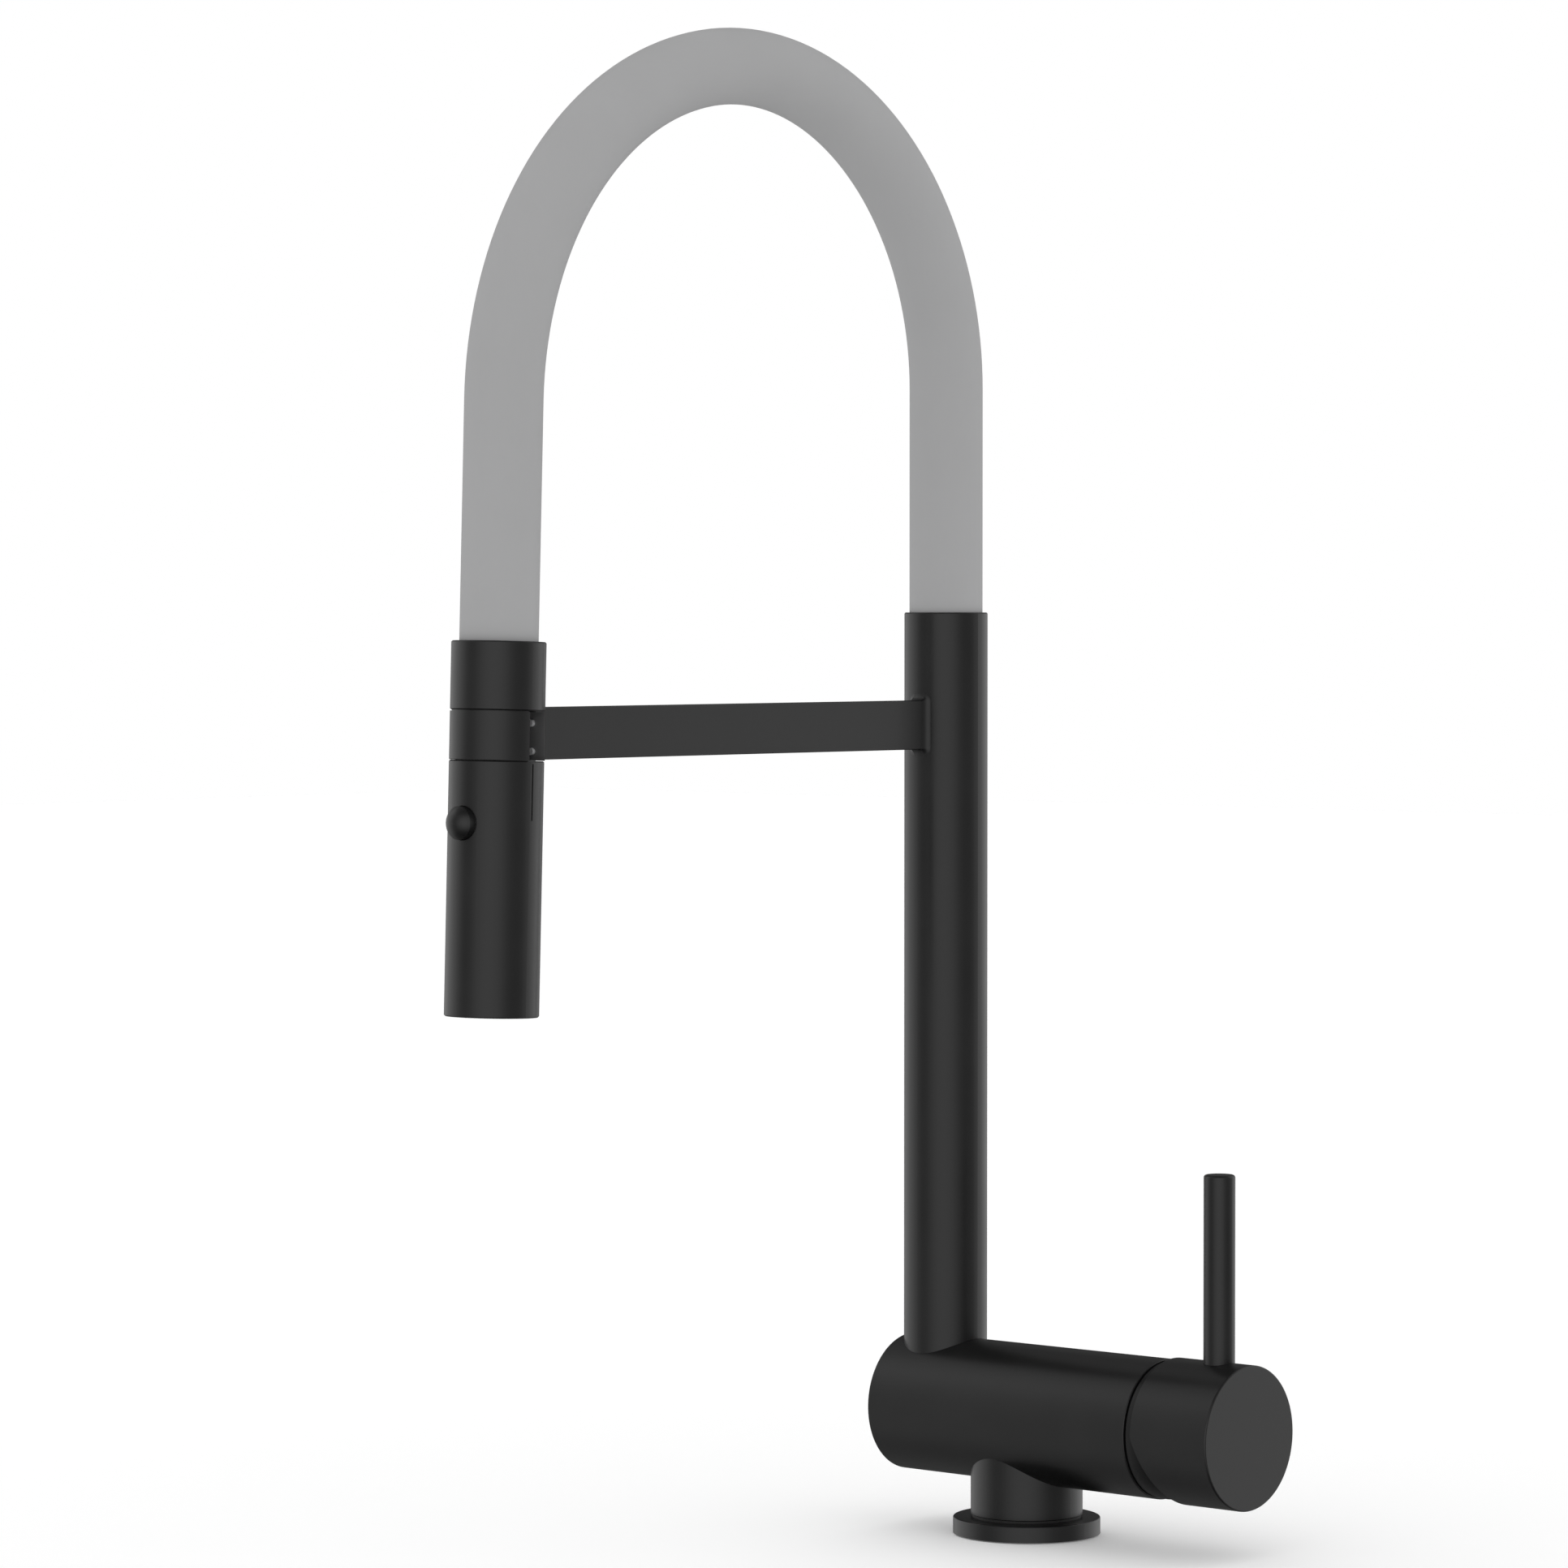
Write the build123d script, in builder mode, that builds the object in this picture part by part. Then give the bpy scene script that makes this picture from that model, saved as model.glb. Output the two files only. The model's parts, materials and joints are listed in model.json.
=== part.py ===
from build123d import *
from math import cos, radians, sin, sqrt, tan
import os

os.makedirs("parts", exist_ok=True)

# Frame: X runs along the barrel towards the lever, -Y points at the user, Z is up.
# The origin is the centre of the flange's underside, on the worktop. Millimetres.

# Clearances
running_gap = 0.05
slip_gap = 0.05
moving_gap = 0.3
sleeve_gap = 0.25
core_gap = 0.4
edge_break = 0.4
cut_margin = 1.0

# Base on the worktop
flange_r = 25.0
flange_t = 5.5
shank_thread_r = 13.2
shank_thread_depth = 10.0
shank_shoulder = 1.0
spigot_wall = 2.0
spigot_h = 9.5
gasket_outer_r = 23.5
gasket_inner_r = 20.0
gasket_t = 1.5

# Swivel bush that turns on the spigot and carries the lift-off body
bush_wall = 1.7
bush_lip_t = 0.8
bush_lip_out = 1.55
bush_h = 6.6
circlip_t = 1.0
circlip_depth = 0.6
circlip_stand = 1.0
circlip_gap = 3.0
bush_keys = 2
bush_key_w = 3.0
bush_key_depth = 0.8
swivel_limit = 60.0
stop_pin_r = 0.7
stop_pin_in = 2.0
stop_ring_out = 2.0
bush_key_h = 3.2
grip_share = 0.62
grip_ring_t = 1.2
grip_ring_depth = 1.0

# Barrel and stub
stub_r = 19.0
stub_visible_h = 11.6
hose_way_r = 12.5
barrel_r = 23.4
barrel_bore_r = 20.0
barrel_left = -51.2
barrel_right = 60.0
plug_t = 5.0
plug_inset = 0.4
plug_seal_in = 2.2
plug_seal_w = 1.6
plug_seal_depth = 1.2

# Column, nipple and foot
column_x = -36.0
column_r = 14.25
column_wall = 1.5
column_h = 248.4
nipple_r = 9.4
nipple_bore_r = 5.0
nipple_top_h = 26.0
nipple_sunk = 8.0
nipple_step = 1.0
barb_r = 4.4
barb_h = 10.0
foot_plug_h = 20.0
seat_below_top = 27.0
seat_t = 5.0

# Inlet manifold inside the barrel
manifold_right = 30.0
inlet_thread_r = 4.45
inlet_thread_depth = 8.0
inlet_spread = 6.4
inlet_face_drop = 15.5
channel_r = 2.5
hot_cold_drop = 5.0
mixed_rise = 8.0
mixed_channel_r = 3.5

# Mixing cartridge, along the barrel
cartridge_r = 17.5
cartridge_base_t = 6.0
cavity_r = 15.3
disc_fixed_t = 4.0
disc_t = 4.0
disc_r = 12.4
moving_slot_l = 7.5
carrier_t = 5.9
ball_floor_t = 1.0
lapped_gap = 0.05
rotor_flange_t = 4.0
rotor_neck_r = 11.3
shell_front_t = 3.0
shell_lip_t = 0.2
shell_neck_r = 14.2
nut_t = 3.5
ball_r = 3.0
ball_arm = 14.5
stem_neck_r = 2.0
stem_block_r = 3.2
stem_block_back = 5.0
stem_square = 8.0
stem_square_from_pivot = 8.7
rotor_past_pivot = 5.7
rotor_pin_r = 1.5
rotor_pin_half = 9.5
port_seal_r = 4.8
port_seal_t = 1.0
slot_w = 7.0
slot_below = 6.2
slot_above = 8.2

# Bonnet ring, handle cap and lever
cap_gap = 3.3
cap_r = 24.1
cap_length = 31.2
cap_wall = 2.0
cap_edge = 0.6
cap_rim_wall = 0.8
cap_rim_reach = 9.5
cap_end_t = 6.5
tilt_limit = 20.0
bonnet_clear = 0.3
bonnet_t = 2.2
bonnet_shadow_gap = 0.6
bonnet_reach = 8.7
hub_r = 7.0
hub_length = 10.0
hub_floor_t = 1.0
lever_r = 5.25
lever_h = 62.2
lever_from_pivot = 18.6
lever_stud_r = 3.0
lever_stud_h = 7.0
lever_pad_r = 6.0
lever_pad_clear = 1.0
lever_sunk = 1.0
grub_r = 2.0
grub_length = 2.8
grub_hex_r = 1.0
hex_sides = 6
grub_hex_depth = 1.5
lever_round = 1.0

# Dock and arm
reach = 220.0
arm_below_column_top = 38.3
arm_half_t = 2.0
arm_h = 16.7
foot_half_t = 3.0
foot_out = 3.4
foot_blend = 4.0
flare_r = 2.4
dock_depth = 5.3
dock_tenon = 2.0
dock_pin_r = 1.12
dock_pin_rows = 2
dock_pin_x = 6.0
dock_pin_z = 4.5
dock_pin_drop = 1.0
dock_pin_out = 1.0
dock_pin_in = 3.0
magnet_r = 3.5
magnet_t = 2.5
keeper_half_w = 3.0
keeper_h = 10.0
keeper_t = 2.0
keeper_gap = 0.3
keeper_rim = 1.0

# Handset, measured along its own leaning axis from the arm's middle
hand_lean = 1.75
hand_r = 15.0
hand_top = -8.2
hand_bottom = -88.9
hand_wall = 2.0
hand_cap_t = 3.2
ring_bottom = -7.9
ring_top = 7.25
ring_cut = -0.7
seam_inset = 0.6
top_rim_w = 1.5
top_recess = 0.8
boss_cut = 5.0
boss_back_r = 9.3
neck_r = 6.6
neck_bore_r = 4.0
collar_bottom = 7.55
collar_top = 29.3
collar_floor_t = 4.0
swivel_r = 6.0
swivel_length = 14.0
clip_r = 7.6
clip_t = 1.0
clip_drop = 0.4
swivel_seal_t = 1.2
swivel_seal_depth = 0.8
swivel_seal_drops = (7.5, 10.5)
ferrule_r = 5.0
ferrule_in = 5.0
ferrule_bore_r = 3.0
ferrule_flange_r = 8.5
ferrule_flange_t = 2.5
ferrule_barb_h = 9.0
valve_r = 3.9
valve_bore_r = 2.2
valve_length = 8.0
side_groove_w = 1.0
side_grooves = 2
side_groove_turn = 3.0
side_groove_depth = 0.25
side_groove_drop = 0.9
side_groove_length = 17.8

# Button
button_drop = 28.0
button_r = 5.3
button_out = 1.7
button_dome_h = 2.7
button_gap = 0.2
button_flange_out = 0.9
button_flange_t = 1.0
button_flange_in = 4.0
button_stem_r = 2.0
button_stem_length = 2.2
button_seal_in = 2.4
button_seal_t = 1.0
button_seal_depth = 0.7
button_spring_r = 3.2
button_spring_bore_r = 2.2

# Spray end
core_top_drop = 14.0
core_bottom_up = 8.9
core_cup_r = 9.0
core_bore_r = 3.5
core_flat = 6.0
core_flat_h = 16.0
plate_recess = 0.8
plate_t = 3.0
nozzle_count = 20
nozzle_ring_in = 2.6
nozzle_r = 0.9
nozzle_bore_r = 0.45
nozzle_out = 0.5
nozzle_pad_t = 1.2
aerator_r = 7.4
aerator_length = 8.0
aerator_recess = 0.6
aerator_rib = 0.8
aerator_pitch = 2.6

# Hose
sleeve_wall = 1.4
spring_wall = 1.6
water_hose_r = 7.0
water_hose_bore_r = 4.45
arch_straight = 76.1
arch_rise_r = 103.2
arch_rise_angle = 100.7

# Places that follow from the driving sizes
spigot_r = shank_thread_r + spigot_wall
spigot_mouth_r = shank_thread_r - shank_shoulder
spigot_top = flange_t + spigot_h
stop_ring_r = spigot_r + stop_ring_out
stub_bottom = flange_t + bush_lip_t + moving_gap
barrel_z = flange_t + stub_visible_h + barrel_r
bush_r = spigot_r + running_gap + bush_wall
bush_lip_r = bush_r + bush_lip_out
stub_step = spigot_top + 2 * moving_gap
column_top = barrel_z + barrel_r + column_h
column_bore_r = column_r - column_wall
sleeve_r = column_bore_r - sleeve_gap
spring_r = sleeve_r - sleeve_wall - moving_gap
hand_bore_r = hand_r - hand_wall
core_r = hand_bore_r - core_gap
dock_face = hand_r - dock_depth
nozzle_ring_r = hand_bore_r - nozzle_ring_in
button_flange_r = button_r + button_flange_out
arm_z = column_top - arm_below_column_top
pivot_x = barrel_right + cap_gap
cap_right = pivot_x + cap_length
lever_x = pivot_x + lever_from_pivot
barrel_axis = Axis((0, 0, barrel_z), (1, 0, 0))
side_plane = Plane(origin=(0, 0, barrel_z), x_dir=(1, 0, 0), z_dir=(0, -1, 0))
dock_plane = Plane(origin=(column_x, -reach, arm_z), x_dir=(1, 0, 0), z_dir=(0, 0, 1))
lean = radians(hand_lean)
hand_plane = Plane(
    origin=(column_x, -reach, arm_z),
    x_dir=(1, 0, 0),
    z_dir=(0, sin(lean), cos(lean)),
)
hand_side = Plane(origin=hand_plane.origin, x_dir=(1, 0, 0), z_dir=-hand_plane.y_dir)


def along(x):
    """The plane square to the barrel at x, centred on the barrel's axis."""
    return Plane(origin=(x, 0, barrel_z), x_dir=(0, 1, 0), z_dir=(1, 0, 0))


def save(part, label):
    """Names a finished piece and writes it to its own file."""
    part.label = label
    export_step(part, f"parts/{label}.step")


def annulus(outer_r, inner_r):
    """A flat ring, for use inside a sketch."""
    Circle(outer_r)
    Circle(inner_r, mode=Mode.SUBTRACT)


def turned(points):
    """A closed profile through points, for use inside a sketch."""
    with BuildLine() as outline:
        Polyline(points, close=True)
    make_face(outline.edges())


def flat_ring(plane, outer_r, inner_r, thickness):
    """A ring of square section that stands on a plane."""
    with BuildPart() as ring:
        with BuildSketch(plane):
            annulus(outer_r, inner_r)
        extrude(amount=thickness)
    return ring.part


# Base flange: the disc on the worktop, its spigot and the thread for the fixing shank
circlip_bottom = flange_t + bush_lip_t + bush_h + running_gap
with BuildPart() as base_flange:
    with BuildSketch():
        Circle(flange_r)
    extrude(amount=flange_t)
    fillet(base_flange.edges().group_by(Axis.Z)[-1], radius=edge_break)
    with BuildSketch(Plane.XY.offset(flange_t)):
        Circle(spigot_r)
    extrude(amount=spigot_h)
    with BuildSketch():
        Circle(shank_thread_r)
    extrude(amount=shank_thread_depth, mode=Mode.SUBTRACT)
    with BuildSketch():
        Circle(spigot_mouth_r)
    extrude(amount=spigot_top, mode=Mode.SUBTRACT)
    with BuildSketch():
        annulus(gasket_outer_r + slip_gap, gasket_inner_r - slip_gap)
    extrude(amount=gasket_t, mode=Mode.SUBTRACT)
    with BuildSketch(Plane.XY.offset(circlip_bottom)):
        annulus(spigot_r + cut_margin, spigot_r - circlip_depth)
    extrude(amount=circlip_t + 2 * slip_gap, mode=Mode.SUBTRACT)
    with BuildSketch(Plane.XY.offset(flange_t - stop_pin_in)):
        with Locations((0, stop_ring_r)):
            Circle(stop_pin_r + slip_gap)
    extrude(amount=stop_pin_in, mode=Mode.SUBTRACT)
save(base_flange.part, "base_flange")

# Gasket let into the flange's underside, level with it
save(flat_ring(Plane.XY, gasket_outer_r, gasket_inner_r, gasket_t), "base_gasket")

# Stop pin in the flange, which limits how far the bush turns
with BuildPart() as swivel_stop_pin:
    with BuildSketch(Plane.XY.offset(flange_t - stop_pin_in)):
        with Locations((0, stop_ring_r)):
            Circle(stop_pin_r)
    extrude(amount=stop_pin_in + bush_lip_t)
save(swivel_stop_pin.part, "swivel_stop_pin")

# Circlip that keeps the bush on the spigot
with BuildPart() as bush_circlip:
    with BuildSketch(Plane.XY.offset(circlip_bottom + slip_gap)):
        annulus(spigot_r + circlip_stand, spigot_r - circlip_depth + slip_gap)
        with Locations((0, -spigot_r)):
            Rectangle(circlip_gap, 2 * circlip_gap, mode=Mode.SUBTRACT)
    extrude(amount=circlip_t)
save(bush_circlip.part, "bush_circlip")

# Swivel bush: a plastic sleeve with a lip, two keys, a grip groove and the stop pin's arc slot
grip_z = flange_t + bush_lip_t + grip_share * bush_h
stop_arc = CenterArc((0, 0), stop_ring_r, 90 - swivel_limit, 2 * swivel_limit)
with BuildPart() as swivel_bush:
    with BuildSketch(Plane.XY.offset(flange_t)):
        annulus(bush_lip_r, spigot_r + running_gap)
        SlotArc(stop_arc, 2 * (stop_pin_r + running_gap), mode=Mode.SUBTRACT)
    extrude(amount=bush_lip_t)
    with BuildSketch(Plane.XY.offset(flange_t + bush_lip_t)):
        annulus(bush_r, spigot_r + running_gap)
    extrude(amount=bush_h)
    with BuildSketch(Plane.XY.offset(flange_t + bush_lip_t)):
        with PolarLocations(bush_r, bush_keys):
            Rectangle(2 * bush_key_depth, bush_key_w)
    extrude(amount=bush_key_h)
    with BuildSketch(Plane.XY.offset(grip_z)):
        annulus(bush_r + cut_margin, bush_r - grip_ring_depth)
    extrude(amount=grip_ring_t + 2 * slip_gap, mode=Mode.SUBTRACT)
save(swivel_bush.part, "swivel_bush")

# Rubber grip ring in the bush's groove, which holds the lifted body steady
grip_plane = Plane.XY.offset(grip_z + slip_gap)
save(flat_ring(grip_plane, bush_r, bush_r - grip_ring_depth + slip_gap, grip_ring_t), "grip_ring")

# Barrel with its stub, one piece, bored through and open to the hose way
with BuildPart() as body_barrel:
    with BuildSketch(Plane.YZ.offset(barrel_left)):
        with Locations((0, barrel_z)):
            Circle(barrel_r)
    extrude(amount=barrel_right - barrel_left)
    fillet(body_barrel.edges().filter_by(GeomType.CIRCLE), radius=edge_break)
    with BuildSketch(Plane.XY.offset(stub_bottom)):
        Circle(stub_r)
    extrude(amount=barrel_z - stub_bottom)
    with BuildSketch(Plane.XY.offset(stub_bottom)):
        Circle(bush_r + running_gap)
        with PolarLocations(bush_r, bush_keys):
            Rectangle(2 * (bush_key_depth + running_gap), bush_key_w + 2 * running_gap)
    extrude(amount=stub_step - stub_bottom, mode=Mode.SUBTRACT)
    with BuildSketch(Plane.XY.offset(stub_bottom)):
        Circle(hose_way_r)
    extrude(amount=barrel_z - stub_bottom, mode=Mode.SUBTRACT)
    with BuildSketch(Plane.YZ.offset(barrel_left)):
        with Locations((0, barrel_z)):
            Circle(barrel_bore_r)
    extrude(amount=barrel_right - barrel_left, mode=Mode.SUBTRACT)
    with BuildSketch(Plane.XY.offset(barrel_z)):
        with Locations((column_x, 0)):
            Circle(nipple_r + slip_gap)
    extrude(amount=barrel_r + cut_margin, mode=Mode.SUBTRACT)
save(body_barrel.part, "body_barrel")

# End plug in the barrel's left end, with a groove for its seal
plug_r = barrel_bore_r - slip_gap
plug_left = barrel_left + plug_inset
with BuildPart() as barrel_end_plug:
    with BuildSketch(side_plane):
        turned(
            [
                (plug_left, 0),
                (plug_left, plug_r),
                (plug_left + plug_seal_in, plug_r),
                (plug_left + plug_seal_in, plug_r - plug_seal_depth),
                (plug_left + plug_seal_in + plug_seal_w, plug_r - plug_seal_depth),
                (plug_left + plug_seal_in + plug_seal_w, plug_r),
                (plug_left + plug_t, plug_r),
                (plug_left + plug_t, 0),
            ]
        )
    revolve(axis=barrel_axis)
    chamfer(barrel_end_plug.edges().group_by(Axis.X)[0], length=edge_break)
save(barrel_end_plug.part, "barrel_end_plug")

# Seal in the plug's groove
plug_seal_plane = Plane(
    origin=(plug_left + plug_seal_in + slip_gap, 0, barrel_z),
    z_dir=(1, 0, 0),
)
plug_seal = flat_ring(
    plug_seal_plane,
    plug_r,
    plug_r - plug_seal_depth + slip_gap,
    plug_seal_w - 2 * slip_gap,
)
save(plug_seal, "plug_seal")

# Inlet manifold: the plastic body that fills the barrel's left part. Hot and cold come up
# through the stub, mixed water leaves up the column.
manifold_r = barrel_bore_r - slip_gap
manifold_left = plug_left + plug_t
inlet_face_z = barrel_z - inlet_face_drop
inlet_top_z = inlet_face_z + inlet_thread_depth
hot_cold_z = barrel_z - hot_cold_drop
mixed_z = barrel_z + mixed_rise
nipple_seat_z = barrel_z + sqrt(manifold_r**2 - nipple_r**2) - nipple_sunk
with BuildPart() as inlet_manifold:
    with BuildSketch(Plane.YZ.offset(manifold_left)):
        with Locations((0, barrel_z)):
            Circle(manifold_r)
    extrude(amount=manifold_right - manifold_left)
    with BuildSketch(Plane.XY.offset(inlet_face_z)):
        Rectangle(2 * (hose_way_r + cut_margin), 2 * manifold_r)
    extrude(amount=-manifold_r, mode=Mode.SUBTRACT)
    with BuildSketch(Plane.XY.offset(inlet_face_z)):
        with Locations((0, inlet_spread), (0, -inlet_spread)):
            Circle(inlet_thread_r)
    extrude(amount=inlet_thread_depth, mode=Mode.SUBTRACT)
    with BuildSketch(Plane.XY.offset(inlet_top_z)):
        with Locations((0, inlet_spread), (0, -inlet_spread)):
            Circle(channel_r)
    extrude(amount=hot_cold_z - inlet_top_z, mode=Mode.SUBTRACT)
    with BuildSketch(Plane.YZ):
        with Locations((inlet_spread, hot_cold_z), (-inlet_spread, hot_cold_z)):
            Circle(channel_r)
    extrude(amount=manifold_right, mode=Mode.SUBTRACT)
    with BuildSketch(Plane.YZ.offset(column_x)):
        with Locations((0, mixed_z)):
            Circle(mixed_channel_r)
    extrude(amount=manifold_right - column_x, mode=Mode.SUBTRACT)
    with BuildSketch(Plane.XY.offset(mixed_z)):
        with Locations((column_x, 0)):
            Circle(mixed_channel_r)
    extrude(amount=manifold_r, mode=Mode.SUBTRACT)
    with BuildSketch(Plane.XY.offset(nipple_seat_z)):
        with Locations((column_x, 0)):
            Circle(nipple_r + slip_gap)
    extrude(amount=manifold_r, mode=Mode.SUBTRACT)
save(inlet_manifold.part, "inlet_manifold")

# Column nipple: screws the column down on the barrel and ends in the water hose's barb
nipple_top = barrel_z + barrel_r + nipple_top_h
column_axis = Axis((column_x, 0, 0), (0, 0, 1))
with BuildPart() as column_nipple:
    with BuildSketch(Plane.XZ):
        turned(
            [
                (column_x + nipple_bore_r, nipple_seat_z),
                (column_x + nipple_r, nipple_seat_z),
                (column_x + nipple_r, nipple_top),
                (column_x + barb_r, nipple_top),
                (column_x + barb_r, nipple_top + barb_h),
                (column_x + mixed_channel_r, nipple_top + barb_h),
                (column_x + mixed_channel_r, nipple_top - nipple_step),
                (column_x + nipple_bore_r, nipple_top - nipple_step),
            ]
        )
    revolve(axis=column_axis)
save(column_nipple.part, "column_nipple")

# Column tube, saddle-cut to the barrel, with a chamfered mouth for the hose sleeve
with BuildPart() as column_tube:
    with BuildSketch(Plane.XY.offset(barrel_z)):
        with Locations((column_x, 0)):
            Circle(column_r)
    extrude(amount=column_top - barrel_z)
    chamfer(column_tube.edges().group_by(Axis.Z)[-1], length=edge_break)
    with BuildSketch(Plane.XY.offset(barrel_z)):
        with Locations((column_x, 0)):
            Circle(column_bore_r)
    extrude(amount=column_top - barrel_z, mode=Mode.SUBTRACT)
    with BuildSketch(Plane.YZ.offset(column_x - column_r)):
        with Locations((0, barrel_z)):
            Circle(barrel_r + slip_gap)
    extrude(amount=2 * column_r, mode=Mode.SUBTRACT)
save(column_tube.part, "column_tube")

# Foot plug soldered in the column, bored for the nipple and saddle-cut like the column
with BuildPart() as column_foot_plug:
    with BuildSketch(Plane.XY.offset(barrel_z)):
        with Locations((column_x, 0)):
            annulus(column_bore_r - slip_gap, nipple_r + slip_gap)
    extrude(amount=barrel_r + foot_plug_h)
    with BuildSketch(Plane.YZ.offset(column_x - column_r)):
        with Locations((0, barrel_z)):
            Circle(barrel_r + slip_gap)
    extrude(amount=2 * column_r, mode=Mode.SUBTRACT)
save(column_foot_plug.part, "column_foot_plug")

# Sleeve seat: the bush in the column's top on which the hose sleeve and spring stand
seat_z = column_top - seat_below_top - seat_t
sleeve_foot_z = seat_z + seat_t
sleeve_seat = flat_ring(
    Plane((column_x, 0, seat_z)),
    column_bore_r - slip_gap,
    water_hose_r + slip_gap,
    seat_t,
)
save(sleeve_seat, "sleeve_seat")

def on_column(edge):
    """Whether an edge of the arm is its outline on the column."""
    middle = edge @ 0.5 - Vector(column_x, 0, arm_z)
    near = abs(sqrt(middle.X**2 + middle.Y**2) - column_r) < 2 * slip_gap
    return near and abs(middle.Z) < arm_h - slip_gap and middle.Y < -foot_half_t


# Docking arm: a flat bar whose thickened root flares softly on to the column
arm_end_y = -reach + sqrt(hand_r**2 - arm_half_t**2) - dock_tenon
saddle_r = column_r + slip_gap
foot_end = column_r + foot_out
with BuildPart() as dock_arm:
    with BuildSketch(Plane.XY.offset(arm_z - arm_h)):
        with Locations((column_x, 0)):
            Circle(saddle_r)
    extrude(amount=2 * arm_h)
    with BuildSketch(Plane.XZ):
        with Locations((column_x, arm_z)):
            RectangleRounded(2 * foot_half_t, arm_h, edge_break)
    extrude(amount=foot_end)
    with BuildSketch(Plane.XZ.offset(foot_end)):
        with Locations((column_x, arm_z)):
            RectangleRounded(2 * foot_half_t, arm_h, edge_break)
    with BuildSketch(Plane.XZ.offset(foot_end + foot_blend)):
        with Locations((column_x, arm_z)):
            RectangleRounded(2 * arm_half_t, arm_h, edge_break)
    loft()
    with BuildSketch(Plane.XZ.offset(foot_end + foot_blend)):
        with Locations((column_x, arm_z)):
            RectangleRounded(2 * arm_half_t, arm_h, edge_break)
    extrude(amount=-arm_end_y - foot_end - foot_blend)
    root = [edge for edge in dock_arm.edges() if on_column(edge)]
    fillet(root, radius=flare_r)
    with BuildSketch(Plane.XY.offset(arm_z - arm_h)):
        with Locations((column_x, 0)):
            Circle(saddle_r)
    extrude(amount=2 * arm_h, mode=Mode.SUBTRACT)
    with BuildSketch(hand_plane.offset(collar_bottom - moving_gap)):
        Circle(hand_r + moving_gap)
    extrude(amount=arm_h, mode=Mode.SUBTRACT)
save(dock_arm.part, "dock_arm")

# Dock block: the back of a round, flat on its face, with its magnet and pin seats
block_z = arm_z - arm_h / 2
with BuildPart() as dock_block:
    with BuildSketch(Plane((column_x, -reach, block_z))):
        Circle(hand_r)
        with Locations((0, dock_face)):
            Rectangle(2 * hand_r, 2 * hand_r, align=(Align.CENTER, Align.MAX), mode=Mode.SUBTRACT)
        with Locations((0, arm_end_y + reach)):
            Rectangle(2 * arm_half_t, hand_r, align=(Align.CENTER, Align.MIN), mode=Mode.SUBTRACT)
    extrude(amount=arm_h)
    with BuildSketch(hand_plane.offset(collar_bottom - moving_gap)):
        Circle(hand_r + moving_gap)
    extrude(amount=arm_h, mode=Mode.SUBTRACT)
    with BuildSketch(Plane.XZ.offset(reach - dock_face)):
        with Locations((column_x, arm_z)):
            Circle(magnet_r + slip_gap)
    extrude(amount=-magnet_t, mode=Mode.SUBTRACT)
    with BuildSketch(Plane.XZ.offset(reach - dock_face)):
        with Locations((column_x, arm_z - dock_pin_drop)):
            with GridLocations(2 * dock_pin_x, 2 * dock_pin_z, dock_pin_rows, dock_pin_rows):
                Circle(dock_pin_r + slip_gap)
    extrude(amount=-dock_pin_in, mode=Mode.SUBTRACT)
save(dock_block.part, "dock_block")

# Magnet let into the block's face
with BuildPart() as dock_magnet:
    with BuildSketch(Plane.XZ.offset(reach - dock_face)):
        with Locations((column_x, arm_z)):
            Circle(magnet_r)
    extrude(amount=-magnet_t)
save(dock_magnet.part, "dock_magnet")

# Four steel pins, which the handset's neck nests between
with BuildPart() as dock_pins:
    with BuildSketch(Plane.XZ.offset(reach - dock_face - dock_pin_in)):
        with Locations((column_x, arm_z - dock_pin_drop)):
            with GridLocations(2 * dock_pin_x, 2 * dock_pin_z, dock_pin_rows, dock_pin_rows):
                Circle(dock_pin_r)
    extrude(amount=dock_pin_in + dock_pin_out)
save(dock_pins.part, "dock_pins")

def front_part(outer_r, cut, back_r):
    """A disc cut off behind a line, joined to a smaller round, for use inside a sketch."""
    Circle(outer_r)
    with Locations((0, cut)):
        Rectangle(2 * outer_r, 2 * outer_r, align=(Align.CENTER, Align.MIN), mode=Mode.SUBTRACT)
    Circle(back_r)


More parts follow.
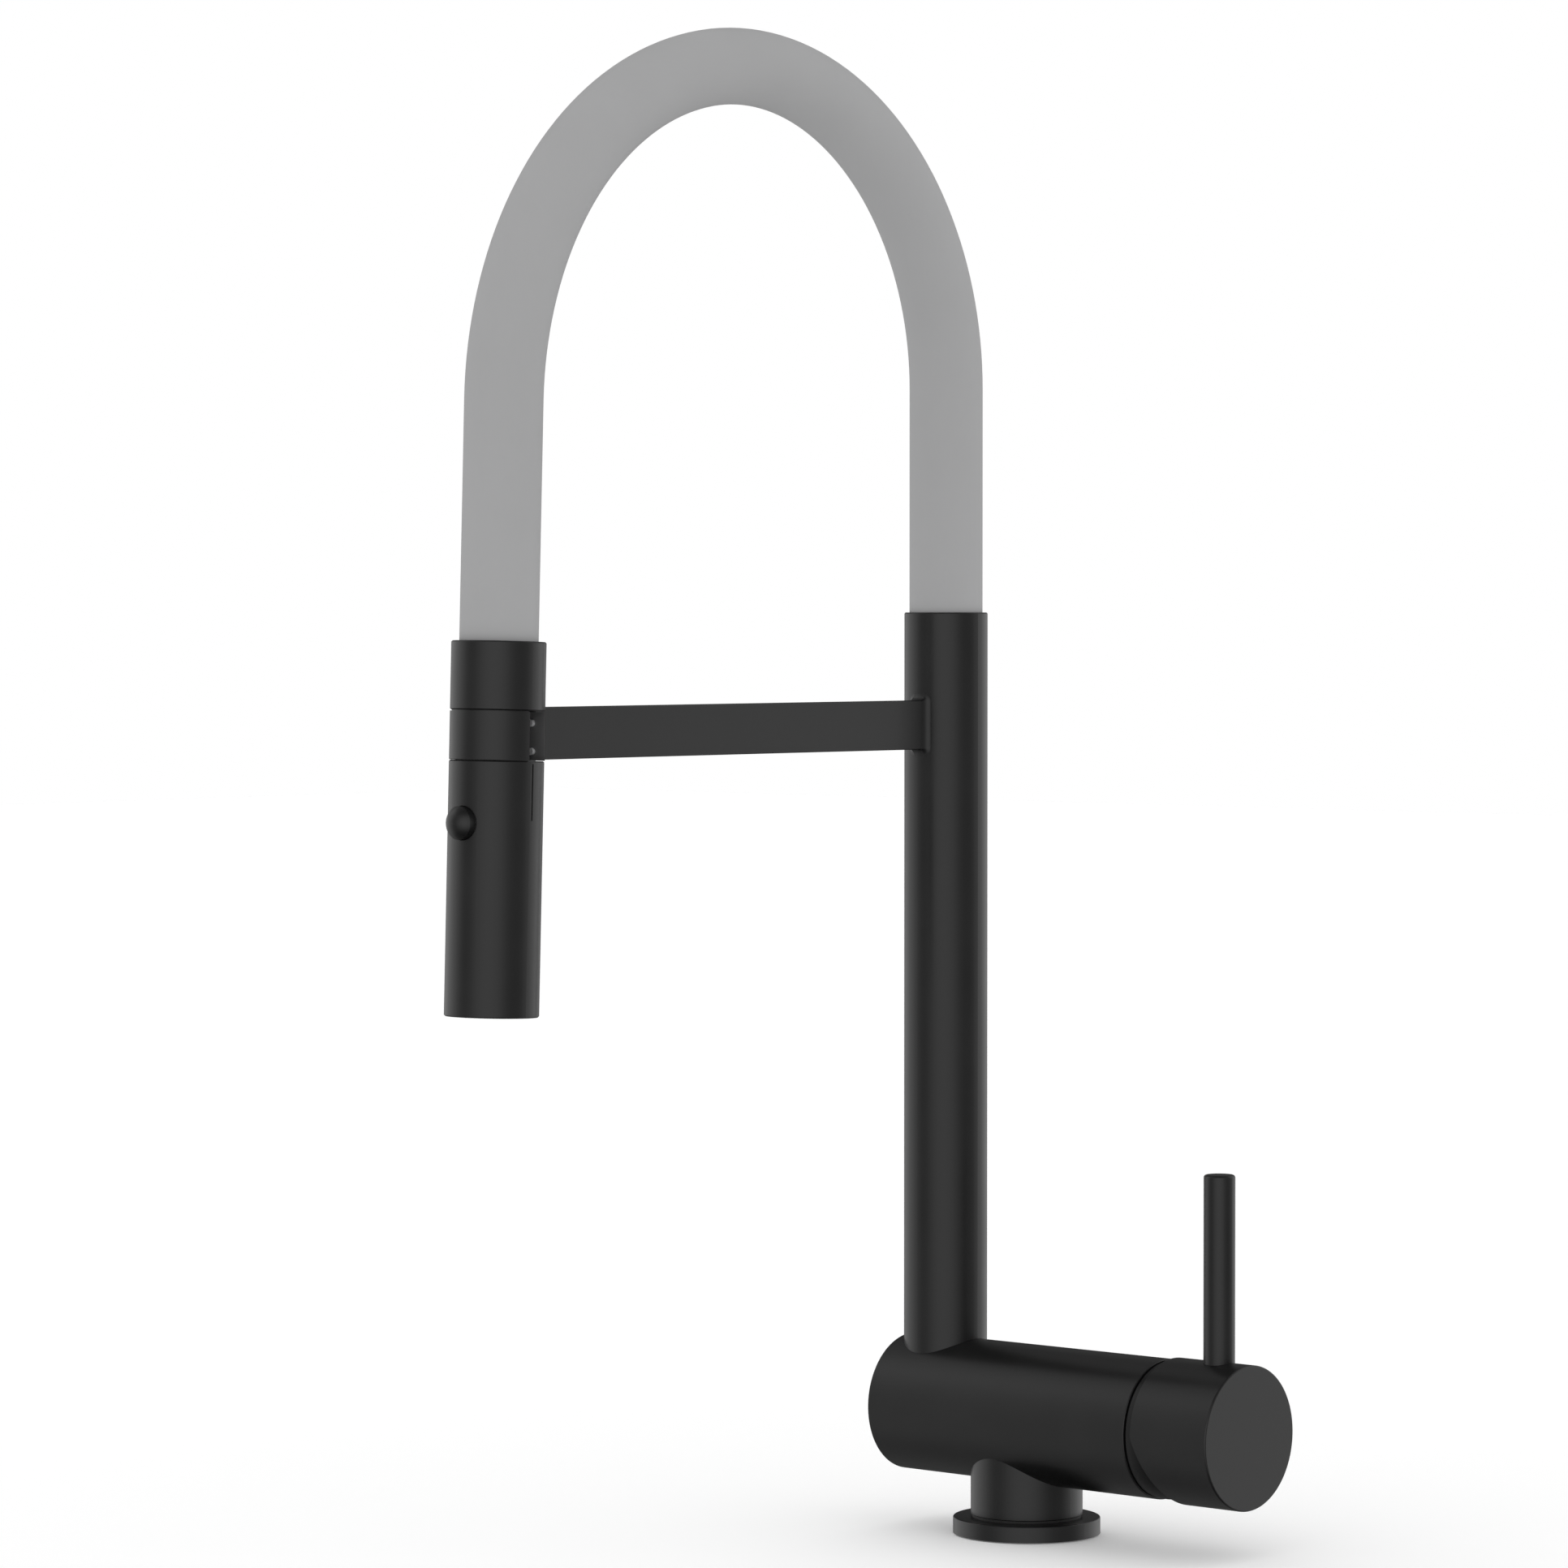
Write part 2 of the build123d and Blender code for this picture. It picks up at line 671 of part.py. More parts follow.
# Dock carrier: the half ring in front with a set-back register above and below, the round neck
# behind it with a tongue for the keeper plate, and the swivel spigot below
swivel_bottom = ring_bottom - swivel_length
clip_z = hand_top - hand_cap_t - clip_drop - clip_t
keeper_back = dock_face - keeper_gap
top_recess_r = hand_r - top_rim_w
boss_bottom = hand_top - top_recess + moving_gap
with BuildPart() as dock_carrier:
    with BuildSketch(hand_plane.offset(ring_bottom)):
        front_part(hand_r, ring_cut, neck_r)
    extrude(amount=ring_top - ring_bottom)
    with BuildSketch(hand_plane.offset(ring_top)):
        front_part(hand_r - seam_inset, ring_cut, neck_r)
    extrude(amount=collar_bottom - ring_top)
    with BuildSketch(hand_plane.offset(boss_bottom)):
        front_part(top_recess_r - moving_gap, boss_cut, boss_back_r)
    extrude(amount=ring_bottom - boss_bottom)
    tongue_h = keeper_h + 2 * keeper_rim
    with BuildSketch(hand_plane.offset(-tongue_h / 2)):
        tongue_w = 2 * (keeper_half_w + keeper_rim)
        Rectangle(tongue_w, keeper_back, align=(Align.CENTER, Align.MIN))
    extrude(amount=tongue_h)
    with BuildSketch(hand_plane.offset(swivel_bottom)):
        Circle(swivel_r)
    extrude(amount=swivel_length)
    with BuildSketch(hand_plane.offset(swivel_bottom)):
        Circle(neck_bore_r)
    extrude(amount=collar_bottom - swivel_bottom, mode=Mode.SUBTRACT)
    with BuildSketch(hand_plane.offset(collar_bottom - ferrule_in)):
        Circle(ferrule_r + slip_gap)
    extrude(amount=ferrule_in, mode=Mode.SUBTRACT)
    with BuildSketch(hand_plane.offset(clip_z - slip_gap)):
        annulus(swivel_r + cut_margin, swivel_r - circlip_depth)
    extrude(amount=clip_t + 2 * slip_gap, mode=Mode.SUBTRACT)
    for drop in swivel_seal_drops:
        with BuildSketch(hand_plane.offset(ring_bottom - drop)):
            annulus(swivel_r + cut_margin, swivel_r - swivel_seal_depth)
        extrude(amount=-swivel_seal_t, mode=Mode.SUBTRACT)
    with BuildSketch(hand_side.offset(-keeper_back)):
        Rectangle(2 * keeper_half_w + 2 * slip_gap, keeper_h + 2 * slip_gap)
    extrude(amount=keeper_t, mode=Mode.SUBTRACT)
save(dock_carrier.part, "dock_carrier")

# Keeper plate on the neck's back, which the magnet holds
with BuildPart() as keeper_plate:
    with BuildSketch(hand_side.offset(-keeper_back)):
        Rectangle(2 * keeper_half_w, keeper_h)
    extrude(amount=keeper_t - slip_gap)
save(keeper_plate.part, "keeper_plate")

# Check valve in the neck
valve_z = collar_bottom - ferrule_in - valve_length - moving_gap
save(flat_ring(hand_plane.offset(valve_z), valve_r, valve_bore_r, valve_length), "check_valve")

# Seals on the swivel spigot, and the circlip that holds the handset on it
with BuildPart() as swivel_seals:
    for drop in swivel_seal_drops:
        with BuildSketch(hand_plane.offset(ring_bottom - drop - slip_gap)):
            annulus(swivel_r, swivel_r - swivel_seal_depth + slip_gap)
        extrude(amount=-(swivel_seal_t - 2 * slip_gap))
save(swivel_seals.part, "swivel_seals")
swivel_clip = flat_ring(
    hand_plane.offset(clip_z), clip_r, swivel_r - circlip_depth + slip_gap, clip_t
)
save(swivel_clip, "swivel_clip")

# Hose collar: the round sleeve over the hose's end
with BuildPart() as hose_collar:
    with BuildSketch(hand_plane.offset(collar_bottom)):
        Circle(hand_r)
    extrude(amount=collar_top - collar_bottom)
    rims = hose_collar.edges().filter_by(GeomType.CIRCLE)
    chamfer(rims, length=edge_break)
    with BuildSketch(hand_plane.offset(collar_bottom + collar_floor_t)):
        Circle(sleeve_r + sleeve_gap)
    extrude(amount=collar_top - collar_bottom - collar_floor_t, mode=Mode.SUBTRACT)
    with BuildSketch(hand_plane.offset(collar_bottom)):
        Circle(ferrule_r + slip_gap)
    extrude(amount=collar_floor_t, mode=Mode.SUBTRACT)
save(hose_collar.part, "hose_collar")

# Hose ferrule: clamps the collar on the neck and ends in the water hose's barb
ferrule_bottom = collar_bottom - ferrule_in
ferrule_flange_z = collar_bottom + collar_floor_t
ferrule_flange_top = ferrule_flange_z + ferrule_flange_t
with BuildPart() as hose_ferrule:
    with BuildSketch(hand_side):
        turned(
            [
                (ferrule_bore_r, ferrule_bottom),
                (ferrule_r, ferrule_bottom),
                (ferrule_r, ferrule_flange_z),
                (ferrule_flange_r, ferrule_flange_z),
                (ferrule_flange_r, ferrule_flange_top),
                (barb_r, ferrule_flange_top),
                (barb_r, ferrule_flange_top + ferrule_barb_h),
                (ferrule_bore_r, ferrule_flange_top + ferrule_barb_h),
            ]
        )
    revolve(axis=Axis(hand_plane.origin, hand_plane.z_dir))
save(hose_ferrule.part, "hose_ferrule")

# Hose route: straight up from the column, two arcs over, then straight down along the
# handset's axis. The second arc's radius makes the route meet that axis.
arch_foot_z = column_top + arch_straight
rise = radians(arch_rise_angle)
rise_end = Vector(-arch_rise_r + arch_rise_r * cos(rise), arch_foot_z + arch_rise_r * sin(rise))
inward = Vector(-cos(rise), -sin(rise))
leg_normal = Vector(cos(lean), -sin(lean))
dock_point = Vector(-reach, arm_z)
arch_fall_r = (rise_end - dock_point).dot(leg_normal) / (1 - inward.dot(leg_normal))
arch_fall_angle = 180 - hand_lean - arch_rise_angle
arch_plane = Plane.YZ.offset(column_x)


def hose_layer(outer_r, inner_r, foot_z, end_w):
    """One tube of the hose, from a height in the column to a place on the handset's axis."""
    end = (-reach + end_w * sin(lean), arm_z + end_w * cos(lean))
    with BuildPart() as tube:
        with BuildLine(arch_plane):
            leg = Line((0, foot_z), (0, arch_foot_z))
            over = JernArc(leg @ 1, leg % 1, arch_rise_r, arch_rise_angle)
            down = JernArc(over @ 1, over % 1, arch_fall_r, arch_fall_angle)
            Line(down @ 1, arch_plane.from_local_coords(end))
        with BuildSketch(Plane((column_x, 0, foot_z))):
            annulus(outer_r, inner_r)
        sweep()
    return tube.part


sleeve_end_w = collar_bottom + collar_floor_t + moving_gap
hose_sleeve = hose_layer(sleeve_r, sleeve_r - sleeve_wall, sleeve_foot_z, sleeve_end_w)
save(hose_sleeve, "hose_sleeve")
support_spring = hose_layer(spring_r, spring_r - spring_wall, sleeve_foot_z, sleeve_end_w)
save(support_spring, "support_spring")
water_hose = hose_layer(
    water_hose_r, water_hose_bore_r, nipple_top + moving_gap, ferrule_flange_top + moving_gap
)
save(water_hose, "water_hose")
print(f"arch radii {arch_rise_r:.1f} and {arch_fall_r:.1f} mm")

# Handset shell: a round tube closed at the top round the swivel spigot, open at the spray end
button_z = -button_drop
button_side = Plane(
    origin=hand_plane.from_local_coords((0, 0, button_z)),
    x_dir=(1, 0, 0),
    z_dir=-hand_plane.y_dir,
)
with BuildPart() as handset_shell:
    with BuildSketch(hand_plane.offset(hand_bottom)):
        Circle(hand_r)
    extrude(amount=hand_top - hand_bottom)
    chamfer(handset_shell.edges().filter_by(GeomType.CIRCLE), length=edge_break)
    with BuildSketch(hand_plane.offset(hand_top)):
        Circle(top_recess_r)
    extrude(amount=-top_recess, mode=Mode.SUBTRACT)
    with BuildSketch(hand_plane.offset(hand_bottom)):
        Circle(hand_bore_r)
    extrude(amount=hand_top - hand_cap_t - hand_bottom, mode=Mode.SUBTRACT)
    with BuildSketch(hand_plane.offset(hand_top - hand_cap_t)):
        Circle(swivel_r + running_gap)
    extrude(amount=hand_cap_t, mode=Mode.SUBTRACT)
    with BuildSketch(button_side):
        Circle(button_r + button_gap)
    extrude(amount=hand_r + cut_margin, mode=Mode.SUBTRACT)
    with BuildSketch(hand_plane.offset(hand_top - side_groove_drop)):
        with PolarLocations(hand_r, side_grooves, side_groove_turn):
            Rectangle(2 * side_groove_depth, side_groove_w)
    extrude(amount=-side_groove_length, mode=Mode.SUBTRACT)
save(handset_shell.part, "handset_shell")

# Waterway core: carries water from the swivel to the spray end, flat behind the button
core_top = hand_top - core_top_drop
core_bottom = hand_bottom + core_bottom_up
core_cup_top = clip_z - moving_gap
with BuildPart() as waterway_core:
    with BuildSketch(hand_plane.offset(core_bottom)):
        Circle(core_r)
    extrude(amount=core_top - core_bottom)
    with BuildSketch(hand_plane.offset(core_top)):
        Circle(core_cup_r)
    extrude(amount=core_cup_top - core_top)
    with BuildSketch(hand_plane.offset(swivel_bottom - moving_gap)):
        Circle(swivel_r + running_gap)
    extrude(amount=core_cup_top - swivel_bottom + moving_gap, mode=Mode.SUBTRACT)
    with BuildSketch(hand_plane.offset(core_bottom)):
        Circle(core_bore_r)
    extrude(amount=swivel_bottom - core_bottom, mode=Mode.SUBTRACT)
    with BuildSketch(button_side.offset(core_flat)):
        Rectangle(2 * core_r, core_flat_h)
    extrude(amount=core_r, mode=Mode.SUBTRACT)
save(waterway_core.part, "waterway_core")

# Button: a domed disc in the shell's hole, with a flange that keeps it in and a short stem
button_back = hand_r - button_flange_in
button_rim = hand_r + button_out
dome_r = (button_r**2 + button_dome_h**2) / (2 * button_dome_h)
dome_centre = button_side.offset(button_rim + button_dome_h - dome_r)
with BuildPart() as spray_button:
    with BuildSketch(button_side.offset(button_rim)):
        Circle(button_r)
    extrude(amount=button_dome_h)
    with Locations(dome_centre.location):
        Sphere(dome_r, mode=Mode.INTERSECT)
    with BuildSketch(button_side.offset(button_back)):
        Circle(button_r)
    extrude(amount=button_rim - button_back)
    with BuildSketch(button_side.offset(button_back)):
        Circle(button_flange_r)
    extrude(amount=-button_flange_t)
    with BuildSketch(button_side.offset(button_back - button_flange_t)):
        Circle(button_stem_r)
    extrude(amount=-button_stem_length)
    with BuildSketch(button_side.offset(button_rim - button_seal_in)):
        annulus(button_r + cut_margin, button_r - button_seal_depth)
    extrude(amount=-button_seal_t, mode=Mode.SUBTRACT)
save(spray_button.part, "spray_button")

# Seal in the button's groove
button_seal = flat_ring(
    button_side.offset(button_rim - button_seal_in - button_seal_t + slip_gap),
    button_r,
    button_r - button_seal_depth + slip_gap,
    button_seal_t - 2 * slip_gap,
)
save(button_seal, "button_seal")

# Button spring between the core's flat and the button's flange
button_spring = flat_ring(
    button_side.offset(core_flat),
    button_spring_r,
    button_spring_bore_r,
    button_back - button_flange_t - core_flat,
)
save(button_spring, "button_spring")

# Spray plate in the shell's open end, with a hole for each nozzle and one for the aerator
plate_z = hand_bottom + plate_recess
with BuildPart() as spray_plate:
    with BuildSketch(hand_plane.offset(plate_z)):
        annulus(hand_bore_r - slip_gap, aerator_r + slip_gap)
        with PolarLocations(nozzle_ring_r, nozzle_count):
            Circle(nozzle_r + slip_gap, mode=Mode.SUBTRACT)
    extrude(amount=plate_t)
save(spray_plate.part, "spray_plate")

# Nozzle pad: soft nozzles on one ring, pushed through the plate from behind
pad_z = plate_z + plate_t
with BuildPart() as nozzle_pad:
    with BuildSketch(hand_plane.offset(pad_z)):
        annulus(hand_bore_r - moving_gap, aerator_r + moving_gap)
    extrude(amount=nozzle_pad_t)
    with BuildSketch(hand_plane.offset(plate_z - nozzle_out)):
        with PolarLocations(nozzle_ring_r, nozzle_count):
            Circle(nozzle_r)
    extrude(amount=plate_t + nozzle_out)
    with BuildSketch(hand_plane.offset(plate_z - nozzle_out)):
        with PolarLocations(nozzle_ring_r, nozzle_count):
            Circle(nozzle_bore_r)
    extrude(amount=plate_t + nozzle_out + nozzle_pad_t, mode=Mode.SUBTRACT)
save(nozzle_pad.part, "nozzle_pad")

# Aerator: a round insert with a square grid at its mouth
aerator_z = plate_z + aerator_recess
grid_side = int(2 * (aerator_r - aerator_rib) / aerator_pitch)
with BuildPart() as aerator:
    with BuildSketch(hand_plane.offset(aerator_z)):
        Circle(aerator_r)
    extrude(amount=core_bottom - aerator_z)
    with BuildSketch(hand_plane.offset(aerator_z)):
        with GridLocations(aerator_pitch, aerator_pitch, grid_side, grid_side):
            Rectangle(aerator_pitch - aerator_rib, aerator_pitch - aerator_rib)
        Circle(aerator_r - aerator_rib, mode=Mode.INTERSECT)
    extrude(amount=aerator_length / 2, mode=Mode.SUBTRACT)
save(aerator.part, "aerator")

# Cartridge base on the manifold, with its three ports and their seals
hot_cold_ports = ((inlet_spread, -hot_cold_drop), (-inlet_spread, -hot_cold_drop))
mixed_port = (0, mixed_rise)
with BuildPart() as cartridge_base:
    with BuildSketch(along(manifold_right)):
        Circle(cartridge_r)
        with Locations(*hot_cold_ports):
            Circle(channel_r, mode=Mode.SUBTRACT)
        with Locations(mixed_port):
            Circle(mixed_channel_r, mode=Mode.SUBTRACT)
    extrude(amount=cartridge_base_t)
    with BuildSketch(along(manifold_right)):
        with Locations(*hot_cold_ports, mixed_port):
            Circle(port_seal_r + slip_gap)
    extrude(amount=port_seal_t, mode=Mode.SUBTRACT)
save(cartridge_base.part, "cartridge_base")
with BuildPart() as port_seals:
    with BuildSketch(along(manifold_right)):
        with Locations(*hot_cold_ports, mixed_port):
            Circle(port_seal_r)
            Circle(mixed_channel_r, mode=Mode.SUBTRACT)
    extrude(amount=port_seal_t)
save(port_seals.part, "port_seals")

# Fixed ceramic disc
disc_x = manifold_right + cartridge_base_t
with BuildPart() as fixed_disc:
    with BuildSketch(along(disc_x)):
        Circle(cavity_r - 2 * slip_gap)
        with Locations(*hot_cold_ports):
            Circle(channel_r, mode=Mode.SUBTRACT)
        with Locations(mixed_port):
            Circle(mixed_channel_r, mode=Mode.SUBTRACT)
    extrude(amount=disc_fixed_t)
save(fixed_disc.part, "fixed_disc")

# Moving ceramic disc and its carrier. They start off centre and slide up as the lever tilts.
ball_x = pivot_x - ball_arm
disc_shift = ball_arm * sin(radians(tilt_limit)) / 2
moving_x = disc_x + disc_fixed_t + lapped_gap
carrier_x = moving_x + disc_t
with BuildPart() as moving_disc:
    with BuildSketch(along(moving_x)):
        with Locations((0, -disc_shift)):
            Circle(disc_r)
        SlotOverall(moving_slot_l, 2 * channel_r, mode=Mode.SUBTRACT)
    extrude(amount=disc_t)
save(moving_disc.part, "moving_disc")
with BuildPart() as disc_carrier:
    with BuildSketch(along(carrier_x)):
        with Locations((0, -disc_shift)):
            Circle(disc_r)
    extrude(amount=carrier_t)
    with BuildSketch(along(carrier_x + carrier_t)):
        Circle(ball_r + moving_gap)
    extrude(amount=ball_floor_t - carrier_t, mode=Mode.SUBTRACT)
save(disc_carrier.part, "disc_carrier")

# Rotor: turns in the cartridge shell with the lever and holds the lever's pivot pin
rotor_x = carrier_x + carrier_t + moving_gap
rotor_neck_x = rotor_x + rotor_flange_t
rotor_end_x = pivot_x + rotor_past_pivot
with BuildPart() as cartridge_rotor:
    with BuildSketch(along(rotor_x)):
        Circle(cavity_r - 2 * running_gap)
    extrude(amount=rotor_flange_t)
    with BuildSketch(along(rotor_neck_x)):
        Circle(rotor_neck_r)
    extrude(amount=rotor_end_x - rotor_neck_x)
    with BuildSketch(along(rotor_x)):
        with Locations((0, (slot_above - slot_below) / 2)):
            Rectangle(slot_w, slot_above + slot_below)
    extrude(amount=rotor_end_x - rotor_x, mode=Mode.SUBTRACT)
    with BuildSketch(side_plane):
        with Locations((pivot_x, 0)):
            Circle(rotor_pin_r + slip_gap)
    extrude(amount=cavity_r, both=True, mode=Mode.SUBTRACT)
save(cartridge_rotor.part, "cartridge_rotor")

# Pivot pin across the rotor
with BuildPart() as rotor_pin:
    with BuildSketch(side_plane):
        with Locations((pivot_x, 0)):
            Circle(rotor_pin_r)
    extrude(amount=rotor_pin_half, both=True)
save(rotor_pin.part, "rotor_pin")

# Cartridge shell over the discs and the rotor's flange
shell_front_x = rotor_neck_x + moving_gap
with BuildPart() as cartridge_shell:
    with BuildSketch(along(disc_x)):
        annulus(cartridge_r, cavity_r)
    extrude(amount=shell_front_x - disc_x)
    with BuildSketch(along(shell_front_x)):
        annulus(shell_neck_r, rotor_neck_r + running_gap)
    extrude(amount=shell_front_t)
    with BuildSketch(along(shell_front_x)):
        annulus(cartridge_r, rotor_neck_r + running_gap)
    extrude(amount=-shell_lip_t)
save(cartridge_shell.part, "cartridge_shell")

# Cartridge nut in the barrel's bore
nut_x = shell_front_x
nut = flat_ring(along(nut_x), barrel_bore_r - slip_gap, shell_neck_r + slip_gap, nut_t)
save(nut, "cartridge_nut")

# Stem: a ball in the carrier, a block on the pivot pin and a square shank in the cap's hub
cap_floor_x = cap_right - cap_end_t
stem_end_x = cap_floor_x - hub_floor_t - 2 * moving_gap
with BuildPart() as cartridge_stem:
    with Locations((ball_x, 0, barrel_z)):
        Sphere(ball_r)
    with BuildSketch(along(ball_x)):
        Circle(stem_neck_r)
    extrude(amount=ball_arm)
    with BuildSketch(along(pivot_x - stem_block_back)):
        Circle(stem_block_r)
    extrude(amount=stem_block_back + stem_square_from_pivot)
    with BuildSketch(along(pivot_x + stem_square_from_pivot)):
        Rectangle(stem_square, stem_square)
    extrude(amount=stem_end_x - pivot_x - stem_square_from_pivot)
    with BuildSketch(side_plane):
        with Locations((pivot_x, 0)):
            Circle(rotor_pin_r + running_gap)
    extrude(amount=stem_square, both=True, mode=Mode.SUBTRACT)
save(cartridge_stem.part, "cartridge_stem")

# Bonnet ring: the dark round ring in the gap, spherical about the lever's pivot
cap_bore_r = cap_r - cap_wall
cap_rim_bore_r = cap_r - cap_rim_wall
bonnet_r = cap_rim_bore_r - bonnet_clear
bonnet_x = barrel_right + bonnet_shadow_gap
bonnet_end_x = pivot_x + bonnet_reach
bonnet_back_r = sqrt(bonnet_r**2 - (pivot_x - bonnet_x) ** 2)
bonnet_end_r = sqrt(bonnet_r**2 - bonnet_reach**2)
bonnet_sleeve_r = barrel_bore_r - slip_gap
with BuildPart() as bonnet_ring:
    with BuildSketch(side_plane):
        with BuildLine():
            sleeve_line = Polyline(
                (bonnet_end_x, bonnet_end_r),
                (bonnet_end_x, bonnet_end_r - bonnet_t),
                (nut_x + nut_t, bonnet_sleeve_r - bonnet_t),
                (nut_x + nut_t, bonnet_sleeve_r),
                (bonnet_x, bonnet_sleeve_r),
                (bonnet_x, bonnet_back_r),
            )
            ThreePointArc(sleeve_line @ 1, (pivot_x, bonnet_r), sleeve_line @ 0)
        make_face()
    revolve(axis=barrel_axis)
save(bonnet_ring.part, "bonnet_ring")

# Handle cap: a round cup over the bonnet, its rim cut away below the pivot so that it can tilt
hub_x = cap_floor_x - hub_length
pad_z0 = barrel_z + stem_square / 2 + lever_pad_clear
wedge_h = cap_r + cut_margin
with BuildPart() as handle_cap:
    with BuildSketch(side_plane):
        turned(
            [
                (pivot_x, cap_rim_bore_r),
                (pivot_x, cap_r),
                (cap_right, cap_r),
                (cap_right, 0),
                (hub_x, 0),
                (hub_x, hub_r),
                (cap_floor_x, hub_r),
                (cap_floor_x, cap_bore_r),
                (pivot_x + cap_rim_reach, cap_bore_r),
                (pivot_x + cap_rim_reach, cap_rim_bore_r),
            ]
        )
    revolve(axis=barrel_axis)
    chamfer(handle_cap.edges().group_by(Axis.X)[-1], length=cap_edge)
    with BuildSketch(Plane.XY.offset(pad_z0)):
        with Locations((lever_x, 0)):
            Circle(lever_pad_r)
    extrude(amount=barrel_z + cap_bore_r + edge_break - pad_z0)
    with BuildSketch(Plane.XY.offset(pad_z0)):
        with Locations((lever_x, 0)):
            Circle(lever_stud_r + slip_gap)
    extrude(amount=cap_r, mode=Mode.SUBTRACT)
    with BuildSketch(along(hub_x)):
        Rectangle(stem_square + 2 * slip_gap, stem_square + 2 * slip_gap)
    extrude(amount=hub_length - hub_floor_t, mode=Mode.SUBTRACT)
    with BuildSketch(Plane.XY.offset(barrel_z)):
        with Locations((lever_x, 0)):
            Circle(grub_r + slip_gap)
    extrude(amount=-2 * cap_r, mode=Mode.SUBTRACT)
    with BuildSketch(side_plane):
        turned(
            [
                (pivot_x, 0),
                (pivot_x - cut_margin, 0),
                (pivot_x - cut_margin, -wedge_h),
                (pivot_x + wedge_h * tan(radians(tilt_limit)), -wedge_h),
            ]
        )
    extrude(amount=wedge_h, both=True, mode=Mode.SUBTRACT)
save(handle_cap.part, "handle_cap")

# Grub screw that fixes the cap's hub on the stem
with BuildPart() as cap_grub_screw:
    with BuildSketch(Plane.XY.offset(barrel_z - stem_square / 2)):
        with Locations((lever_x, 0)):
            Circle(grub_r)
    extrude(amount=-grub_length)
    with BuildSketch(Plane.XY.offset(barrel_z - stem_square / 2 - grub_length)):
        with Locations((lever_x, 0)):
            RegularPolygon(grub_hex_r, hex_sides)
    extrude(amount=grub_hex_depth, mode=Mode.SUBTRACT)
save(cap_grub_screw.part, "cap_grub_screw")

# Lever rod: saddle-cut to the cap, with a rounded top and a threaded stud below
lever_foot_z = barrel_z + cap_r
with BuildPart() as lever_rod:
    with BuildSketch(Plane.XY.offset(lever_foot_z - lever_sunk)):
        with Locations((lever_x, 0)):
            Circle(lever_r)
    extrude(amount=lever_h + lever_sunk)
    fillet(lever_rod.edges().group_by(Axis.Z)[-1], radius=lever_round)
    with BuildSketch(along(lever_x - lever_r)):
        Circle(cap_r + slip_gap)
    extrude(amount=2 * lever_r, mode=Mode.SUBTRACT)
    with BuildSketch(Plane.XY.offset(lever_foot_z + lever_sunk)):
        with Locations((lever_x, 0)):
            Circle(lever_stud_r)
    extrude(amount=-lever_stud_h - lever_sunk)
save(lever_rod.part, "lever_rod")
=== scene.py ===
import json
import math

import bmesh
import bpy
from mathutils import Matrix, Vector


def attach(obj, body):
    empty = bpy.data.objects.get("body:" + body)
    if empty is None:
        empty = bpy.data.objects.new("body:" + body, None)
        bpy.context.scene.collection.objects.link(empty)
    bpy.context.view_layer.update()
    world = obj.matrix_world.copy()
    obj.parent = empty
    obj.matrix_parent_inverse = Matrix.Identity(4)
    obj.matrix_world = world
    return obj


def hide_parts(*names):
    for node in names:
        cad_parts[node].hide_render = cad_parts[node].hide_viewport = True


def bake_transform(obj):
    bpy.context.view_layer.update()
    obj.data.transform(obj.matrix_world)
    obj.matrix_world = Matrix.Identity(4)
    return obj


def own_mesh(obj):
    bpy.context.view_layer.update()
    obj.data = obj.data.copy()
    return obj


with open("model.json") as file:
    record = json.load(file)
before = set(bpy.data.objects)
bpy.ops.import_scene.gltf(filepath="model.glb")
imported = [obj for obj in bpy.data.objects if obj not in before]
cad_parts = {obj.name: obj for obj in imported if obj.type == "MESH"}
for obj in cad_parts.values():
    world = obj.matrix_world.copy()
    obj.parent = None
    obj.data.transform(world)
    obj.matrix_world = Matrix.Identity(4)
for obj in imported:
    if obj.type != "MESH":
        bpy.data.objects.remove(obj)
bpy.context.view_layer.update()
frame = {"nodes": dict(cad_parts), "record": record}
nodes = frame["nodes"]

# Places shared with the part's source; lengths here and below are in metres
ARM_Z = 0.274
REACH = 0.220
COLUMN_X = -0.036
COLUMN_TOP = 0.3123
BARREL_Z = 0.0405

# The handset's own directions: it hangs a little out of plumb
LEAN = math.radians(1.75)
HAND_ORIGIN = Vector((COLUMN_X, -REACH, ARM_Z))
HAND_UP = Vector((0, math.sin(LEAN), math.cos(LEAN)))
HAND_BACK = Vector((0, math.cos(LEAN), -math.sin(LEAN)))

ALONG_X = Vector((1, 0, 0))
ALONG_Y = Vector((0, 1, 0))
ALONG_Z = Vector((0, 0, 1))


# Nodes that the materials and the studio share
def map_range(tree, value, start, end=(0, 1)):
    """Maps a value from one range to another."""
    remap = tree.nodes.new("ShaderNodeMapRange")
    remap.inputs["From Min"].default_value = start[0]
    remap.inputs["From Max"].default_value = start[1]
    remap.inputs["To Min"].default_value = end[0]
    remap.inputs["To Max"].default_value = end[1]
    tree.links.new(value, remap.inputs["Value"])
    return remap.outputs["Result"]


def colour_ramp(tree, value, stops):
    """Colours a value by stops, each a position with its colour, in rising order."""
    ramp = tree.nodes.new("ShaderNodeValToRGB")
    elements = ramp.color_ramp.elements
    while len(elements) < len(stops):
        elements.new(0.5)
    for element, (position, colour) in zip(elements, stops):
        element.position = position
        element.color = (*colour, 1)
    tree.links.new(value, ramp.inputs["Fac"])
    return ramp.outputs["Color"]


def turned_towards(tree, direction, axis):
    """How far a direction turns towards an axis, from -1 to 1."""
    product = tree.nodes.new("ShaderNodeVectorMath")
    product.operation = "DOT_PRODUCT"
    product.inputs[1].default_value = axis
    tree.links.new(direction, product.inputs[0])
    return product.outputs["Value"]


